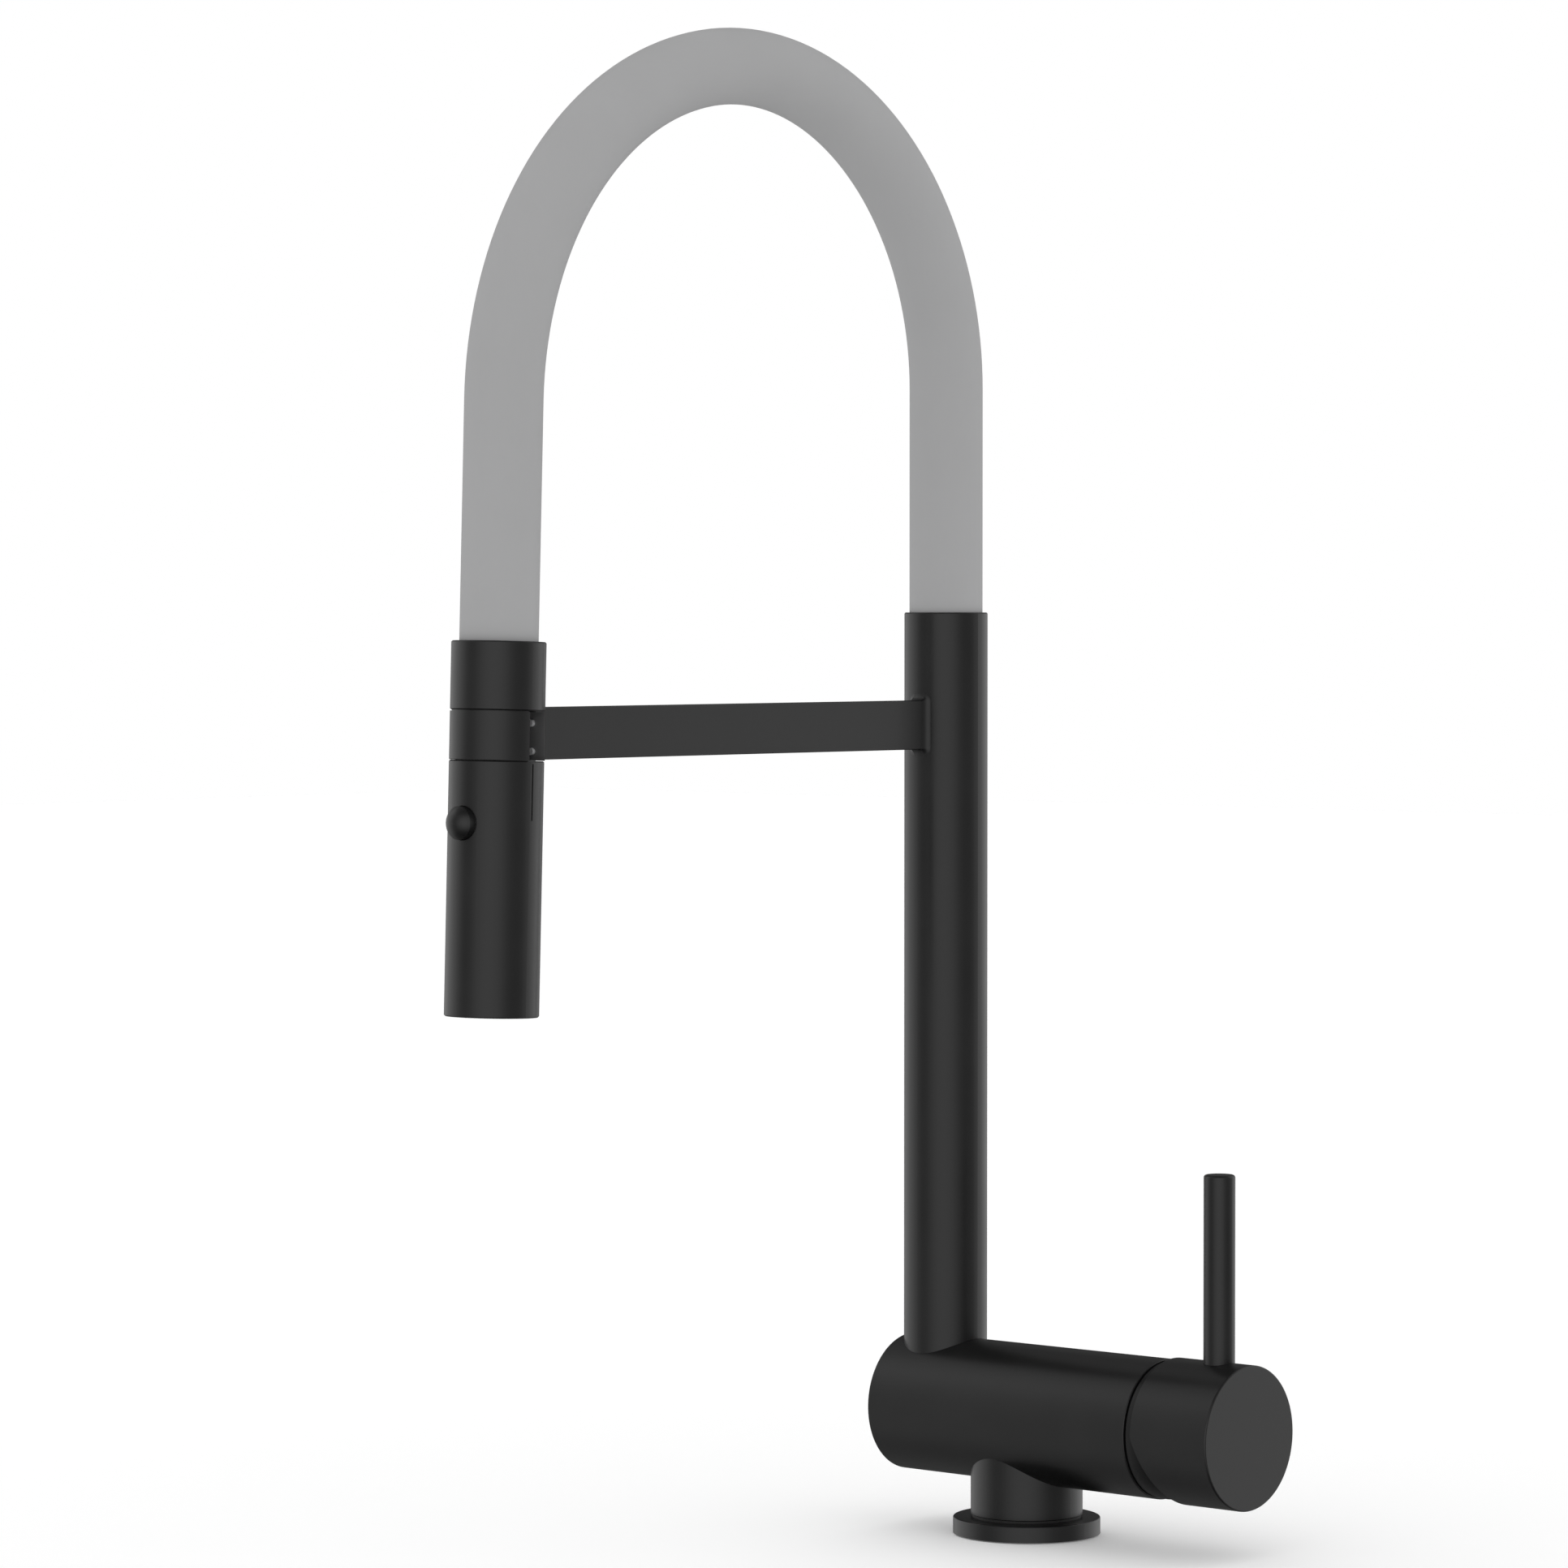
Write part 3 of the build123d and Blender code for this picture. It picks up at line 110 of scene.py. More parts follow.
# Materials: waves in a metre of the slow mottling and of the fine grain, and the grain's depth
MOTTLED = 45.0
GRAIN = 900.0
TURNED_GRAIN = 2200.0
GRAIN_DEPTH = 0.00002
# Noise lies mostly in the first range, and two colours blend over the second
NOISE_RANGE = (0.3, 0.7)
BLEND_RANGE = (0.35, 0.65)
# A face looks to the front, and takes the painted light, when the share of its normal that points
# there is over these
FRONT_RANGE = (0.97, 0.99)


def new_material(name):
    material = bpy.data.materials.new(name)
    material.use_nodes = True
    return material, material.node_tree, material.node_tree.nodes["Principled BSDF"]


def noise(tree, waves, detail=4.0):
    """A noise texture on object coordinates."""
    coords = tree.nodes.new("ShaderNodeTexCoord")
    texture = tree.nodes.new("ShaderNodeTexNoise")
    texture.inputs["Scale"].default_value = waves
    texture.inputs["Detail"].default_value = detail
    tree.links.new(coords.outputs["Object"], texture.inputs["Vector"])
    return texture.outputs["Fac"]


def finish_material(name, dark, light, rough, metallic=0.0, specular=0.5, grain=GRAIN, bump=0.15):
    """A surface with fine grain, slow colour variation and an uneven polish."""
    material, tree, shader = new_material(name)
    slow = noise(tree, MOTTLED, detail=3.0)
    colour = colour_ramp(tree, slow, list(zip(BLEND_RANGE, (dark, light))))
    tree.links.new(colour, shader.inputs["Base Color"])
    tree.links.new(map_range(tree, slow, NOISE_RANGE, rough), shader.inputs["Roughness"])
    shader.inputs["Metallic"].default_value = metallic
    shader.inputs["Specular IOR Level"].default_value = specular
    relief = tree.nodes.new("ShaderNodeBump")
    relief.inputs["Strength"].default_value = bump
    relief.inputs["Distance"].default_value = GRAIN_DEPTH
    tree.links.new(noise(tree, grain), relief.inputs["Height"])
    tree.links.new(relief.outputs["Normal"], shader.inputs["Normal"])
    return material


def grey(value):
    """A grey that is a touch bluer than neutral."""
    return (value, value, value * 1.01)


def satin_black(name, rough=(0.29, 0.33), specular=0.5):
    return finish_material(name, grey(0.0055), grey(0.007), rough, specular=specular)


def painted_light_front(material, colour):
    """Paints the faces that look to the front a lighter colour: painted light that brightens the
    dock's shaded recess.
    """
    tree = material.node_tree
    shader = tree.nodes["Principled BSDF"]
    coated = shader.inputs["Base Color"].links[0].from_socket
    coords = tree.nodes.new("ShaderNodeTexCoord")
    facing = turned_towards(tree, coords.outputs["Normal"], (0, -1, 0))
    mix = tree.nodes.new("ShaderNodeMix")
    mix.data_type = "RGBA"
    mix.inputs["B"].default_value = (*colour, 1)
    tree.links.new(map_range(tree, facing, FRONT_RANGE), mix.inputs["Factor"])
    tree.links.new(coated, mix.inputs["A"])
    tree.links.new(mix.outputs["Result"], shader.inputs["Base Color"])
    return material


materials = {
    "matte_black": satin_black("satin_black"),
    "dark_ring": satin_black("satin_black_ring", rough=(0.33, 0.38), specular=0.25),
    "grey_hose": finish_material(
        "grey_sleeve", grey(0.362), grey(0.368), (0.62, 0.7), specular=0.25, grain=400.0, bump=0.08
    ),
    "rubber_seal": finish_material("black_rubber", grey(0.012), grey(0.018), (0.75, 0.85)),
    "inner_hose": finish_material("pale_hose", (0.5, 0.5, 0.47), (0.56, 0.56, 0.53), (0.4, 0.5)),
    "steel": finish_material(
        "turned_steel", (0.5, 0.5, 0.51), (0.6, 0.6, 0.61), (0.22, 0.32),
        metallic=1.0, grain=TURNED_GRAIN,
    ),
    "magnet": finish_material(
        "plated_magnet", (0.42, 0.42, 0.43), (0.5, 0.5, 0.51), (0.2, 0.28), metallic=1.0
    ),
    "brass_part": finish_material(
        "turned_brass", (0.58, 0.42, 0.19), (0.68, 0.52, 0.26), (0.25, 0.36),
        metallic=1.0, grain=TURNED_GRAIN,
    ),
    "inner_plastic": finish_material(
        "moulded_plastic", (0.62, 0.62, 0.6), (0.7, 0.7, 0.68), (0.45, 0.55)
    ),
    "ceramic": finish_material(
        "lapped_ceramic", (0.78, 0.77, 0.74), (0.84, 0.83, 0.8), (0.12, 0.2)
    ),
    "black_plastic": finish_material("black_plastic", grey(0.012), grey(0.016), (0.5, 0.6)),
}
# Two CAD nodes look otherwise than their slot; the dock block's front faces get painted light
special = {
    "dock_block": painted_light_front(satin_black("satin_black_seat_painted_light"), grey(0.16)),
    "dock_pins": finish_material(
        "satin_steel_pins", grey(0.72), grey(0.8), (0.4, 0.5), metallic=0.3, grain=TURNED_GRAIN
    ),
}
slot_of = {part["node"]: part["material_slot"] for part in frame["record"]["subparts"]}
for name, obj in nodes.items():
    obj.data.materials.clear()
    obj.data.materials.append(special.get(name, materials[slot_of[name]]))


# Pieces built here
SHARP = math.radians(50)


def around(turn, first, second):
    """A direction in the plane of two others, turned from the first towards the second."""
    return math.cos(turn) * first + math.sin(turn) * second


def turns(count):
    """Equal steps of one whole turn."""
    return [2 * math.pi * k / count for k in range(count)]


def band(bm, low, high):
    """Quads between two rings of points."""
    for k in range(len(low)):
        j = (k + 1) % len(low)
        bm.faces.new((low[k], low[j], high[j], high[k]))


def smooth_object(name, bm):
    """An object of a built mesh, smooth but for its sharp edges."""
    bmesh.ops.recalc_face_normals(bm, faces=bm.faces[:])
    for face in bm.faces:
        face.smooth = True
    for edge in bm.edges:
        if edge.is_manifold and edge.calc_face_angle(0) > SHARP:
            edge.smooth = False
    mesh = bpy.data.meshes.new(name)
    bm.to_mesh(mesh)
    bm.free()
    return bpy.data.objects.new(name, mesh)


def sweep_section(name, frames, section):
    """A solid wire: a flat section carried along frames of point, outward and sideways vectors."""
    bm = bmesh.new()
    rings = []
    for point, outward, sideways in frames:
        rings.append([bm.verts.new(point + u * outward + v * sideways) for u, v in section])
    for low, high in zip(rings, rings[1:]):
        band(bm, low, high)
    bm.faces.new(rings[0][::-1])
    bm.faces.new(rings[-1])
    return smooth_object(name, bm)


def flat_section(half_u, half_v):
    return [(half_u, -half_v), (half_u, half_v), (-half_u, half_v), (-half_u, -half_v)]


def link(obj, slot, body=None):
    """Puts a new piece in the scene, in its slot and, if a body is given, on its body."""
    bpy.context.scene.collection.objects.link(obj)
    obj.data.materials.append(materials[slot])
    if body:
        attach(obj, body)
    return obj


# The hose: three layers on one route, smooth, which arches from the column to the hose's end
ARCH_STRAIGHT = 0.0761
ARCH_FOOT_Z = COLUMN_TOP + ARCH_STRAIGHT
RISE_R = 0.1032
RISE = math.radians(100.7)
FALL = math.pi - LEAN - RISE
UPWARD = math.pi / 2
# The second bend's radius makes it end on the handset's axis
rise_end = Vector((-RISE_R + RISE_R * math.cos(RISE), ARCH_FOOT_Z + RISE_R * math.sin(RISE)))
inward = Vector((-math.cos(RISE), -math.sin(RISE)))
leg_normal = Vector((math.cos(LEAN), -math.sin(LEAN)))
FALL_R = (rise_end - Vector((-REACH, ARM_Z))).dot(leg_normal) / (1 - inward.dot(leg_normal))


def count_of(length, step):
    return max(2, round(length / step))


def bend(centre, radius, start, turn, step):
    """Points of one bend with their headings, without its last point."""
    count = count_of(radius * turn, step)
    angles = [start + turn * i / count for i in range(count)]
    y, z = centre
    return [(y + radius * math.cos(a), z + radius * math.sin(a), UPWARD + a) for a in angles]


def route(start_z, end_w, step):
    """Points of the hose's middle line with their headings, from the column to the handset."""
    rise = ARCH_FOOT_Z - start_z
    count = count_of(rise, step)
    found = [(0.0, start_z + rise * i / count, UPWARD) for i in range(count)]
    found += bend((-RISE_R, ARCH_FOOT_Z), RISE_R, 0, RISE, step)
    centre = rise_end + FALL_R * inward
    found += bend(centre, FALL_R, RISE, FALL, step)
    last = RISE + FALL
    top = Vector((centre.x + FALL_R * math.cos(last), centre.y + FALL_R * math.sin(last)))
    end = Vector((-REACH + end_w * math.sin(LEAN), ARM_Z + end_w * math.cos(LEAN)))
    count = count_of((top - end).length, step)
    return found + [(*top.lerp(end, i / count), UPWARD + last) for i in range(count + 1)]


def tube(name, points, outer, inner, sides):
    """A closed tube of two walls along the route."""
    bm = bmesh.new()
    walls = []
    for y, z, heading in points:
        middle = Vector((COLUMN_X, y, z))
        across = Vector((0, math.sin(heading), -math.cos(heading)))
        walls.append([
            [bm.verts.new(middle + radius * around(turn, ALONG_X, across)) for turn in turns(sides)]
            for radius in (outer, inner)
        ])
    for low, high in zip(walls, walls[1:]):
        band(bm, low[0], high[0])
        band(bm, high[1], low[1])
    band(bm, walls[0][1], walls[0][0])
    band(bm, walls[-1][0], walls[-1][1])
    return smooth_object(name, bm)


def hose_bend(obj):
    """Bakes a layer's placement into its mesh."""
    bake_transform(obj)


SLEEVE_TUCK = 0.027
SLEEVE_FOOT = COLUMN_TOP - SLEEVE_TUCK
SLEEVE_END_W = 0.01185
SLEEVE_R, SLEEVE_BORE_R = 0.0125, 0.0111
SLEEVE_STEP, SLEEVE_SIDES = 0.004, 72
sleeve_points = route(SLEEVE_FOOT, SLEEVE_END_W, SLEEVE_STEP)
sleeve_tube = tube("sleeve_skin", sleeve_points, SLEEVE_R, SLEEVE_BORE_R, SLEEVE_SIDES)
sleeve = link(sleeve_tube, "grey_hose")
hose_bend(sleeve)
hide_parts("hose_sleeve")

NIPPLE_TOP = 0.0899
FERRULE_TOP_W = 0.01405
HOSE_GAP = 0.0003
HOSE_R, HOSE_BORE_R = 0.007, 0.00445
HOSE_STEP, HOSE_SIDES = 0.006, 32
hose_points = route(NIPPLE_TOP + HOSE_GAP, FERRULE_TOP_W + HOSE_GAP, HOSE_STEP)
hose_tube = tube("water_hose_skin", hose_points, HOSE_R, HOSE_BORE_R, HOSE_SIDES)
water_hose = link(hose_tube, "inner_hose")
hose_bend(water_hose)
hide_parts("water_hose")


def coil_on_route(points, radius, pitch, per_turn):
    """Frames of a coil round the route: its distance along the route sets its angle."""
    frames = []
    lengths = [0.0]
    for (y0, z0, _), (y1, z1, _) in zip(points, points[1:]):
        lengths.append(lengths[-1] + math.hypot(y1 - y0, z1 - z0))
    total = lengths[-1]
    count = int(total / pitch * per_turn)
    at = 0
    for i in range(count + 1):
        s = total * i / count
        while at < len(points) - 2 and lengths[at + 1] < s:
            at += 1
        part = (s - lengths[at]) / (lengths[at + 1] - lengths[at])
        y0, z0, h0 = points[at]
        y1, z1, h1 = points[at + 1]
        heading = h0 + (h1 - h0) * part
        middle = Vector((COLUMN_X, y0 + (y1 - y0) * part, z0 + (z1 - z0) * part))
        across = Vector((0, math.sin(heading), -math.cos(heading)))
        ahead = Vector((0, math.cos(heading), math.sin(heading)))
        outward = around(2 * math.pi * s / pitch, ALONG_X, across)
        frames.append((middle + radius * outward, outward, ahead))
    return frames


# The hidden support spring: flat wire wound on the route between sleeve and water hose
SUPPORT_R = 0.0100
SUPPORT_PITCH = 0.0044
SUPPORT_WIRE = flat_section(0.0007, 0.0011)
SUPPORT_INSET = 0.001
SUPPORT_STEP, SUPPORT_PER_TURN = 0.002, 24
support_points = route(SLEEVE_FOOT + SUPPORT_INSET, SLEEVE_END_W + SUPPORT_INSET, SUPPORT_STEP)
support_frames = coil_on_route(support_points, SUPPORT_R, SUPPORT_PITCH, SUPPORT_PER_TURN)
support = link(sweep_section("support_coil", support_frames, SUPPORT_WIRE), "steel")
hose_bend(support)
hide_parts("support_spring")


# The button's return spring, which on the real tap shortens as the button goes in; here it keeps
# its rest length on the handset
BUTTON_DROP = 0.028
SPRING_FOOT = 0.006
SPRING_TOP = 0.010
SPRING_R = 0.0027
SPRING_TURNS = 3.5
SPRING_WIRE_R = 0.00028
SPRING_WIRE_SIDES = 8
# The wire's middle keeps this far from both ends
SPRING_END_GAP = 0.0003
SPRING_STEPS = 98
button_axis_point = HAND_ORIGIN - BUTTON_DROP * HAND_UP
spring_frames = []
for i in range(SPRING_STEPS + 1):
    share = i / SPRING_STEPS
    outward = around(2 * math.pi * SPRING_TURNS * share, ALONG_X, HAND_UP)
    depth = SPRING_FOOT + SPRING_END_GAP + (SPRING_TOP - SPRING_FOOT - 2 * SPRING_END_GAP) * share
    middle = button_axis_point - depth * HAND_BACK
    spring_frames.append((middle + SPRING_R * outward, outward, HAND_BACK))
spring_wire = [
    (SPRING_WIRE_R * math.cos(a), SPRING_WIRE_R * math.sin(a)) for a in turns(SPRING_WIRE_SIDES)
]
button_coil = link(sweep_section("button_coil", spring_frames, spring_wire), "steel", "handset")
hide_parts("button_spring")
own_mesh(button_coil)


# A cut through a CAD mesh takes points this near as lying on it
CUT_NEAR = 1e-7


def reshaped(name, source, cuts, axis, move, turn):
    """A copy of a CAD mesh, cut across an axis, with its points moved and its normals turned."""
    kept = [corner.vector.copy() for corner in source.corner_normals]
    bm = bmesh.new()
    bm.from_mesh(source)
    layer = bm.loops.layers.float_vector.new("kept_normal")
    bm.faces.ensure_lookup_table()
    for face, polygon in zip(bm.faces, source.polygons):
        for k, loop in enumerate(face.loops):
            loop[layer] = kept[polygon.loop_start + k]
    for cut in cuts:
        everything = bm.verts[:] + bm.edges[:] + bm.faces[:]
        bmesh.ops.bisect_plane(
            bm, geom=everything, dist=CUT_NEAR, plane_co=cut * axis, plane_no=axis
        )
    mesh = bpy.data.meshes.new(name)
    bm.to_mesh(mesh)
    bm.free()
    if "custom_normal" in mesh.attributes:
        mesh.attributes.remove(mesh.attributes["custom_normal"])
    stored = mesh.attributes["kept_normal"].data
    normals = []
    for polygon in mesh.polygons:
        for i in polygon.loop_indices:
            point = mesh.vertices[mesh.loops[i].vertex_index].co
            normals.append(turn(point, Vector(stored[i].vector), polygon.center).normalized())
    for vertex in mesh.vertices:
        vertex.co = move(vertex.co)
    mesh.attributes.remove(mesh.attributes["kept_normal"])
    for polygon in mesh.polygons:
        polygon.use_smooth = True
    mesh.materials.clear()
    mesh.normals_split_custom_set(normals)
    return bpy.data.objects.new(name, mesh)


# The docking arm, whose root the photo shows as one smooth curve on to the column. Half its
# thickness steps from ARM_HALF to FOOT_HALF in the CAD, and then flares out round FLARE_R.
ARM_HALF = 0.002
FOOT_HALF = 0.003
TAPER_START = -0.02165
TAPER_END = -0.01765
FLARE_START = -0.015803
FLARE_R = 0.0024
FLARE_END_SINE = 0.9463
# The shown arm grows by a power curve from ROOT_START, and flares from its slope round ROOT_R
ROOT_START = -0.0278
ROOT_RISE = 0.000747
ROOT_POWER = 2.26
ROOT_SLOPE = math.radians(8)
ROOT_R = 0.002814
ROOT_CUTS_MM = (
    -27.8, -26.6, -25.4, -24.2, -22.9, -20.6, -19.8, -19.1,
    -18.5, -18.0, -17.3, -17.0, -16.75, -16.5, -16.25, -16.0,
)


def half_in_cad(y):
    """Half the CAD arm's thickness at y, and how steeply it grows."""
    if y < TAPER_START:
        return ARM_HALF, 0.0
    if y < TAPER_END:
        steep = (FOOT_HALF - ARM_HALF) / (TAPER_END - TAPER_START)
        return ARM_HALF + steep * (y - TAPER_START), steep
    if y < FLARE_START:
        return FOOT_HALF, 0.0
    sine = min((y - FLARE_START) / FLARE_R, FLARE_END_SINE)
    cosine = math.sqrt(1 - sine * sine)
    return FOOT_HALF + FLARE_R * (1 - cosine), sine / cosine


def half_shown(y):
    """Half the shown arm's thickness at y, and how steeply it grows."""
    if y < ROOT_START:
        return ARM_HALF, 0.0
    if y < FLARE_START:
        length = FLARE_START - ROOT_START
        part = (y - ROOT_START) / length
        steep = ROOT_POWER * ROOT_RISE / length * part ** (ROOT_POWER - 1)
        return ARM_HALF + ROOT_RISE * part**ROOT_POWER, steep
    sine = min(math.sin(ROOT_SLOPE) + (y - FLARE_START) / ROOT_R, FLARE_END_SINE)
    cosine = math.sqrt(1 - sine * sine)
    return ARM_HALF + ROOT_RISE + ROOT_R * (math.cos(ROOT_SLOPE) - cosine), sine / cosine


def root_point(point):
    wide = half_shown(point.y)[0] / half_in_cad(point.y)[0]
    return Vector((COLUMN_X + (point.x - COLUMN_X) * wide, point.y, point.z))


def root_normal(point, normal, middle):
    """Turns a face's normal by as much as the face gets steeper."""
    at = point.y if middle.y > FLARE_START else middle.y
    steeper = half_shown(point.y)[1] - half_in_cad(at)[1]
    return Vector((normal.x, normal.y - steeper * abs(normal.x), normal.z))


root_cuts = [cut / 1000 for cut in ROOT_CUTS_MM]
cad_arm = nodes["dock_arm"].data
arm = reshaped("arm_skin", cad_arm, root_cuts, ALONG_Y, root_point, root_normal)
link(arm, "matte_black", "tap_body")
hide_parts("dock_arm")


# The handle cap, whose outer edge the photo shows rounded, where the CAD has a chamfer
CAP_END = 0.0945
CAP_R = 0.0241
CAP_ROUND = 0.0006
CAP_CUT_DEGREES = (15, 30, 45, 60, 75)
# Points this little outside the rounded edge still count as on it
ALONG_NEAR = 1e-6
ACROSS_NEAR = 2e-5
# The chamfer's normals have their x between these
CHAMFER_X = (0.5, 0.9)


def round_turn(point):
    """How far round the cap's edge a point lies, as cosine and sine, and its place off the axis."""
    cosine = min(max((point.x - CAP_END + CAP_ROUND) / CAP_ROUND, 0.0), 1.0)
    return cosine, math.sqrt(1 - cosine * cosine), Vector((0, point.y, point.z - BARREL_Z))


def on_round(point):
    from_axis = Vector((point.y, point.z - BARREL_Z)).length
    past_start = point.x > CAP_END - CAP_ROUND - ALONG_NEAR
    return past_start and from_axis > CAP_R - CAP_ROUND - ACROSS_NEAR


def cap_point(point):
    if not on_round(point):
        return point
    cosine, sine, place = round_turn(point)
    flat = CAP_R - CAP_ROUND * cosine
    place *= (CAP_R - CAP_ROUND + CAP_ROUND * sine) / flat
    return Vector((point.x, place.y, BARREL_Z + place.z))


def cap_normal(point, normal, _):
    if not (on_round(point) and CHAMFER_X[0] < normal.x < CHAMFER_X[1]):
        return normal
    cosine, sine, place = round_turn(point)
    return Vector((cosine, 0, 0)) + sine * place.normalized()


cap_cuts = [
    CAP_END - CAP_ROUND + CAP_ROUND * math.cos(math.radians(turn)) for turn in CAP_CUT_DEGREES
]
cad_cap = nodes["handle_cap"].data
cap = reshaped("cap_skin", cad_cap, cap_cuts, ALONG_X, cap_point, cap_normal)
link(cap, "matte_black", "lever")
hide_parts("handle_cap")


# A thin black ring in the gap under the half ring, riding on the hose end: a dark piece put where
# the seam has only shade, as painted shade
RING_BOTTOM = -0.00790
RING_DROP = 0.0001
RING_R = 0.01414
RING_START = -176.5
RING_TURN = 173
RING_STEPS = 64
RING_SECTION = flat_section(0.00079, 0.00012)
ring_middle = HAND_ORIGIN + (RING_BOTTOM - RING_DROP) * HAND_UP
ring_frames = []
for i in range(RING_STEPS + 1):
    turn = math.radians(RING_START + RING_TURN * i / RING_STEPS)
    outward = around(turn, ALONG_X, HAND_BACK)
    ring_frames.append((ring_middle + RING_R * outward, outward, HAND_UP))
link(sweep_section("seam_shade_ring", ring_frames, RING_SECTION), "rubber_seal", "hose_end")


# The threads of the three ports, each one low ridge that climbs a bore
THREAD_STEPS = 48
THREAD_SUNK = 0.00012
# Half the ridge's width at its foot and at its crest, in pitches
THREAD_FOOT = 0.42
THREAD_CREST = 0.08


def thread(name, slot, body, centre, bore_r, tooth, start_z, length, pitch):
    frames = []
    for i in range(int(length / pitch * THREAD_STEPS) + 1):
        outward = around(2 * math.pi * i / THREAD_STEPS, ALONG_X, ALONG_Y)
        middle = Vector((*centre, start_z + pitch * i / THREAD_STEPS))
        frames.append((middle + bore_r * outward, outward, ALONG_Z))
    foot = THREAD_FOOT * pitch
    crest = THREAD_CREST * pitch
    section = [(THREAD_SUNK, -foot), (THREAD_SUNK, foot), (-tooth, crest), (-tooth, -crest)]
    link(sweep_section(name, frames, section), slot, body)


thread(
    "shank_thread_ridge", "matte_black", "base", centre=(0, 0),
    bore_r=0.0132, tooth=0.0007, start_z=0.0008, length=0.0084, pitch=0.0015,
)
for label, y in (("cold", -0.0064), ("hot", 0.0064)):
    thread(
        f"inlet_thread_{label}", "inner_plastic", "tap_body", centre=(0, y),
        bore_r=0.00445, tooth=0.0004, start_z=0.0256, length=0.0068, pitch=0.001,
    )


# Studio: a plain white world, in which glossy rays see broad grey panels instead
AZIMUTH = math.radians(41.51)

scene = bpy.context.scene
scene.view_settings.view_transform = "Standard"
world = bpy.data.worlds.new("studio")
scene.world = world
world.use_nodes = True
sky = world.node_tree
sky.nodes.clear()
directions = sky.nodes.new("ShaderNodeTexCoord").outputs["Generated"]


def by_direction(axis, stops):
    """A level by the degrees between a direction and an axis, from 180 down to 0."""
    toward = turned_towards(sky, directions, Vector(axis).normalized())
    levels = []
    for degrees, level in stops:
        levels.append(((1 + math.cos(math.radians(degrees))) / 2, (level, level, level)))
    return colour_ramp(sky, map_range(sky, toward, (-1, 1)), levels)


def at_azimuth(turn):
    """The level direction that stands this many degrees right of the camera."""
    angle = AZIMUTH + math.radians(turn)
    return (math.sin(angle), -math.cos(angle), 0)


def combine(blend, a, b):
    mix = sky.nodes.new("ShaderNodeMix")
    mix.data_type = "RGBA"
    mix.blend_type = blend
    mix.inputs["Factor"].default_value = 1
    sky.links.new(a, mix.inputs["A"])
    sky.links.new(b, mix.inputs["B"])
    return mix.outputs["Result"]


def background(colour=None):
    shader = sky.nodes.new("ShaderNodeBackground")
    if colour:
        sky.links.new(colour, shader.inputs["Color"])
    else:
        shader.inputs["Color"].default_value = (1, 1, 1, 1)
    return shader.outputs["Background"]


# Each stop is an angle from the axis, in degrees, with the level there
side_panels = by_direction(at_azimuth(1.5), [
    (180, 0.05), (150, 0.1), (136, 0.4), (122, 0.85), (112, 0.93), (96, 0.82),
    (86, 0.5), (74, 0.3), (0, 0.3),
])
front_panel = by_direction(at_azimuth(-8), [
    (180, 0), (65, 0.02), (50, 0.08), (38, 0.32), (28, 0.55), (15, 0.67), (0, 0.73),
])
height = by_direction(ALONG_Z, [
    (180, 0.12), (150, 0.15), (137, 0.28), (124, 0.62), (112, 0.85), (100, 0.97),
    (88, 1.02), (52, 1.05), (35, 0.45), (0, 0.3),
])
# The flag darkens the sky above and behind the part
flag = by_direction((-math.sin(AZIMUTH), math.cos(AZIMUTH), 1), [
    (180, 1.0), (44, 1.0), (30, 0.6), (17, 0.5), (0, 0.4),
])
edge_panels = by_direction(at_azimuth(0), [
    (180, 0), (168, 0.02), (159, 0.45), (149, 0.7), (136, 0.52), (120, 0.1), (105, 0),
])
horizon = by_direction(ALONG_Z, [
    (180, 0), (116, 0.04), (104, 0.5), (96, 1), (84, 1), (76, 0.5), (64, 0.04), (0, 0),
])
panels = combine("MULTIPLY", combine("ADD", side_panels, front_panel), height)
edges = combine("MULTIPLY", edge_panels, horizon)
glossy_sky = combine("ADD", combine("MULTIPLY", panels, flag), edges)

light_path = sky.nodes.new("ShaderNodeLightPath")
seen_sky = sky.nodes.new("ShaderNodeMixShader")
sky.links.new(light_path.outputs["Is Glossy Ray"], seen_sky.inputs["Fac"])
sky.links.new(background(), seen_sky.inputs[1])
sky.links.new(background(glossy_sky), seen_sky.inputs[2])
world_output = sky.nodes.new("ShaderNodeOutputWorld")
sky.links.new(seen_sky.outputs["Shader"], world_output.inputs["Surface"])


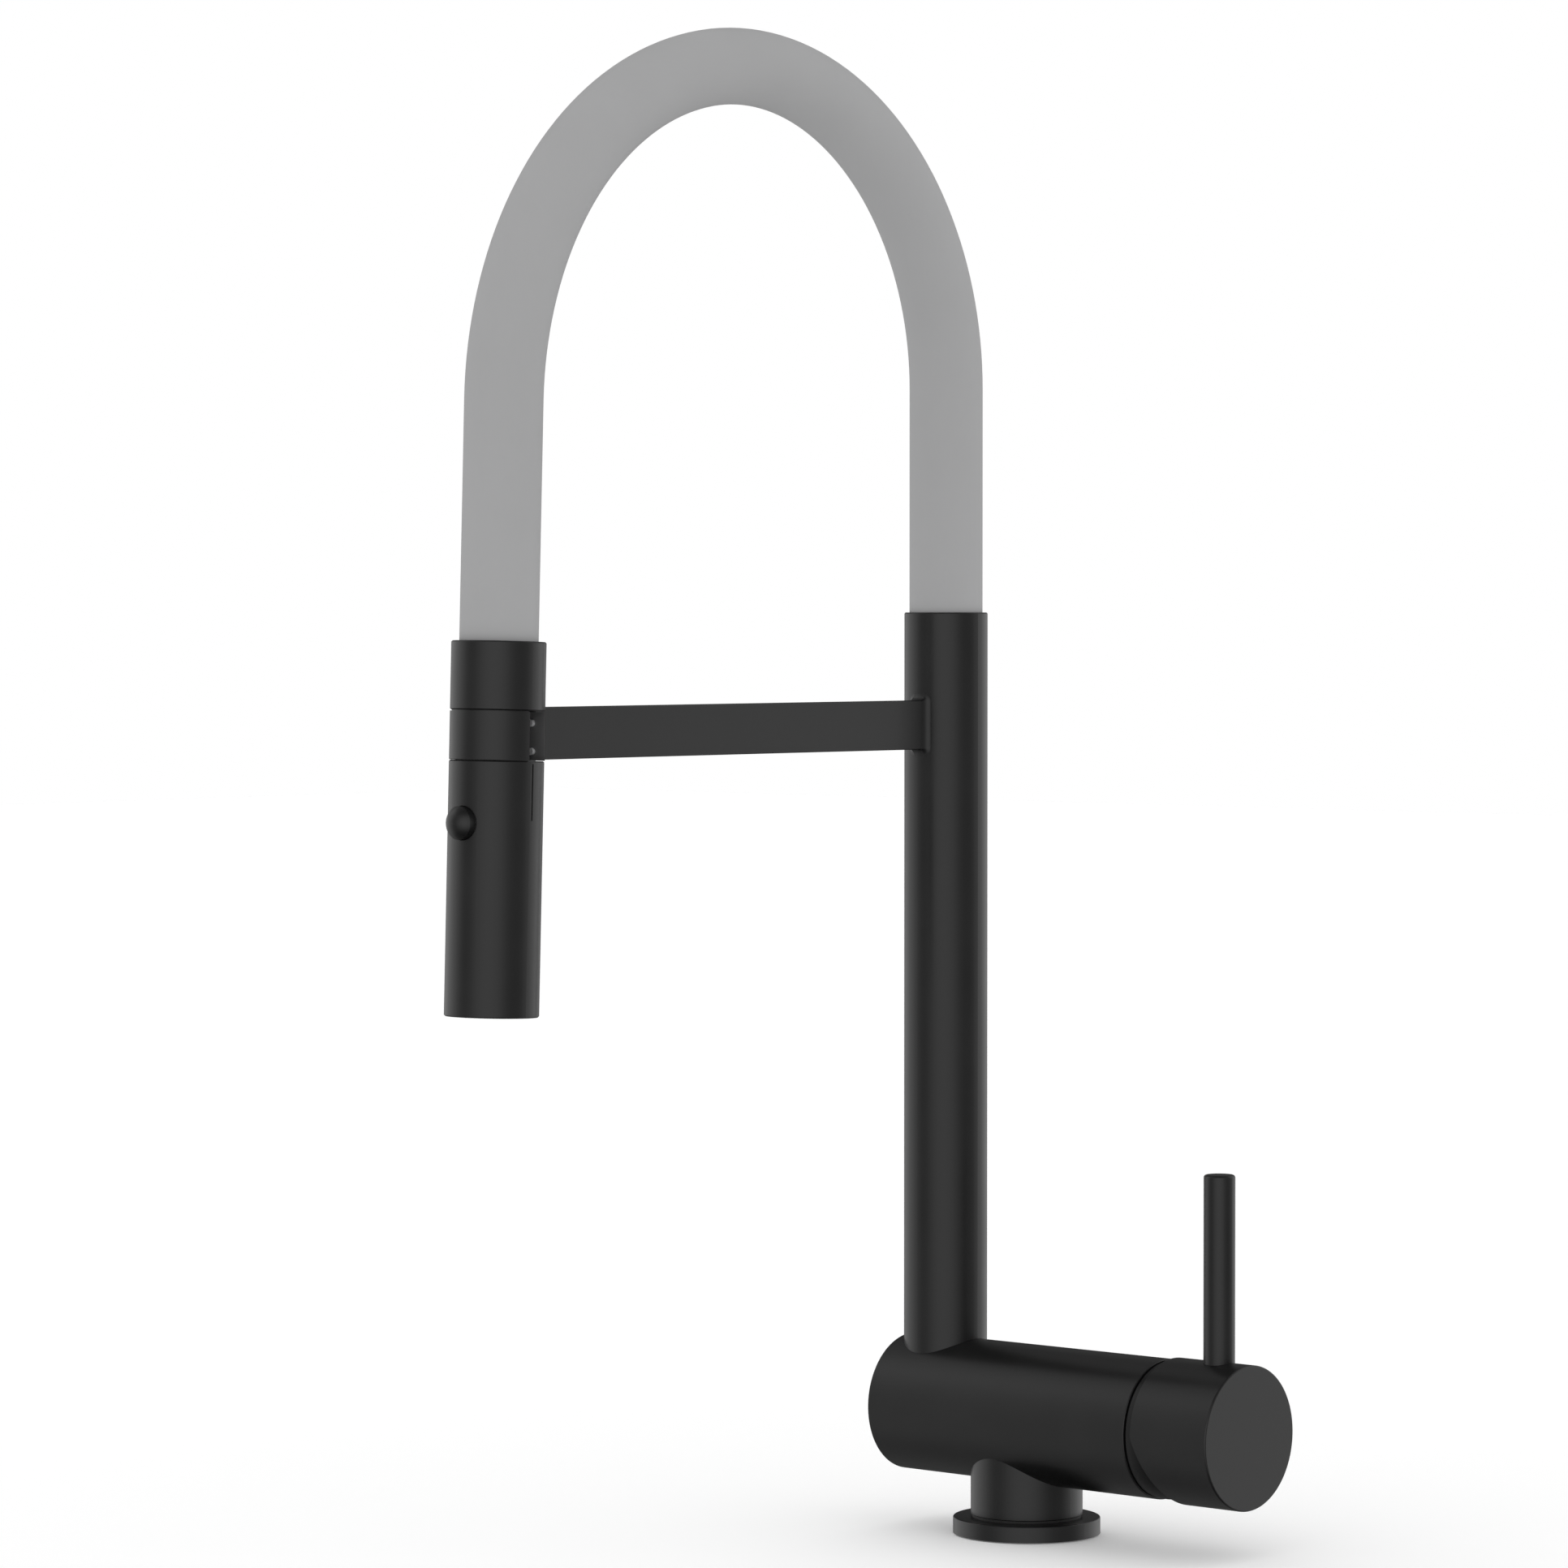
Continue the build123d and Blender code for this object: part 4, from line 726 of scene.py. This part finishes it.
# The floor: pale, a little brighter to the camera alone, and clear to glossy rays
FLOOR_SIZE = 12
FLOOR_Z = -0.0004
FLOOR_COLOUR = (0.93, 0.93, 0.93)
FLOOR_ROUGH = 0.9
CAMERA_GLOW = 0.11

bpy.ops.mesh.primitive_plane_add(size=FLOOR_SIZE, location=(0, 0, FLOOR_Z))
floor = bpy.context.object
floor.name = "floor"
floor_material, tree, shader = new_material("pale_floor")
shader.inputs["Base Color"].default_value = (*FLOOR_COLOUR, 1)
shader.inputs["Roughness"].default_value = FLOOR_ROUGH
path = tree.nodes.new("ShaderNodeLightPath")
glow = tree.nodes.new("ShaderNodeEmission")
level = tree.nodes.new("ShaderNodeMath")
level.operation = "MULTIPLY"
level.inputs[1].default_value = CAMERA_GLOW
tree.links.new(path.outputs["Is Camera Ray"], level.inputs[0])
tree.links.new(level.outputs["Value"], glow.inputs["Strength"])
both = tree.nodes.new("ShaderNodeAddShader")
tree.links.new(shader.outputs["BSDF"], both.inputs[0])
tree.links.new(glow.outputs["Emission"], both.inputs[1])
clear = tree.nodes.new("ShaderNodeBsdfTransparent")
seen = tree.nodes.new("ShaderNodeMixShader")
tree.links.new(path.outputs["Is Glossy Ray"], seen.inputs["Fac"])
tree.links.new(both.outputs["Shader"], seen.inputs[1])
tree.links.new(clear.outputs["BSDF"], seen.inputs[2])
tree.links.new(seen.outputs["Shader"], tree.nodes["Material Output"].inputs["Surface"])
floor.data.materials.append(floor_material)


# The photo's camera, in metres, degrees and millimetres of film
CAMERA_PLACE = (1.2680, -1.5571, 0.3132)
CAMERA_DOWN = 1.48
SENSOR = 36
LENS = 136.06
SHIFT_Y = -0.01346

camera_data = bpy.data.cameras.new("camera")
camera = bpy.data.objects.new("camera", camera_data)
scene.collection.objects.link(camera)
camera.location = CAMERA_PLACE
camera.rotation_euler = (math.radians(90 - CAMERA_DOWN), 0, AZIMUTH)
camera_data.sensor_width = SENSOR
camera_data.lens = LENS
camera_data.shift_y = SHIFT_Y
scene.camera = camera
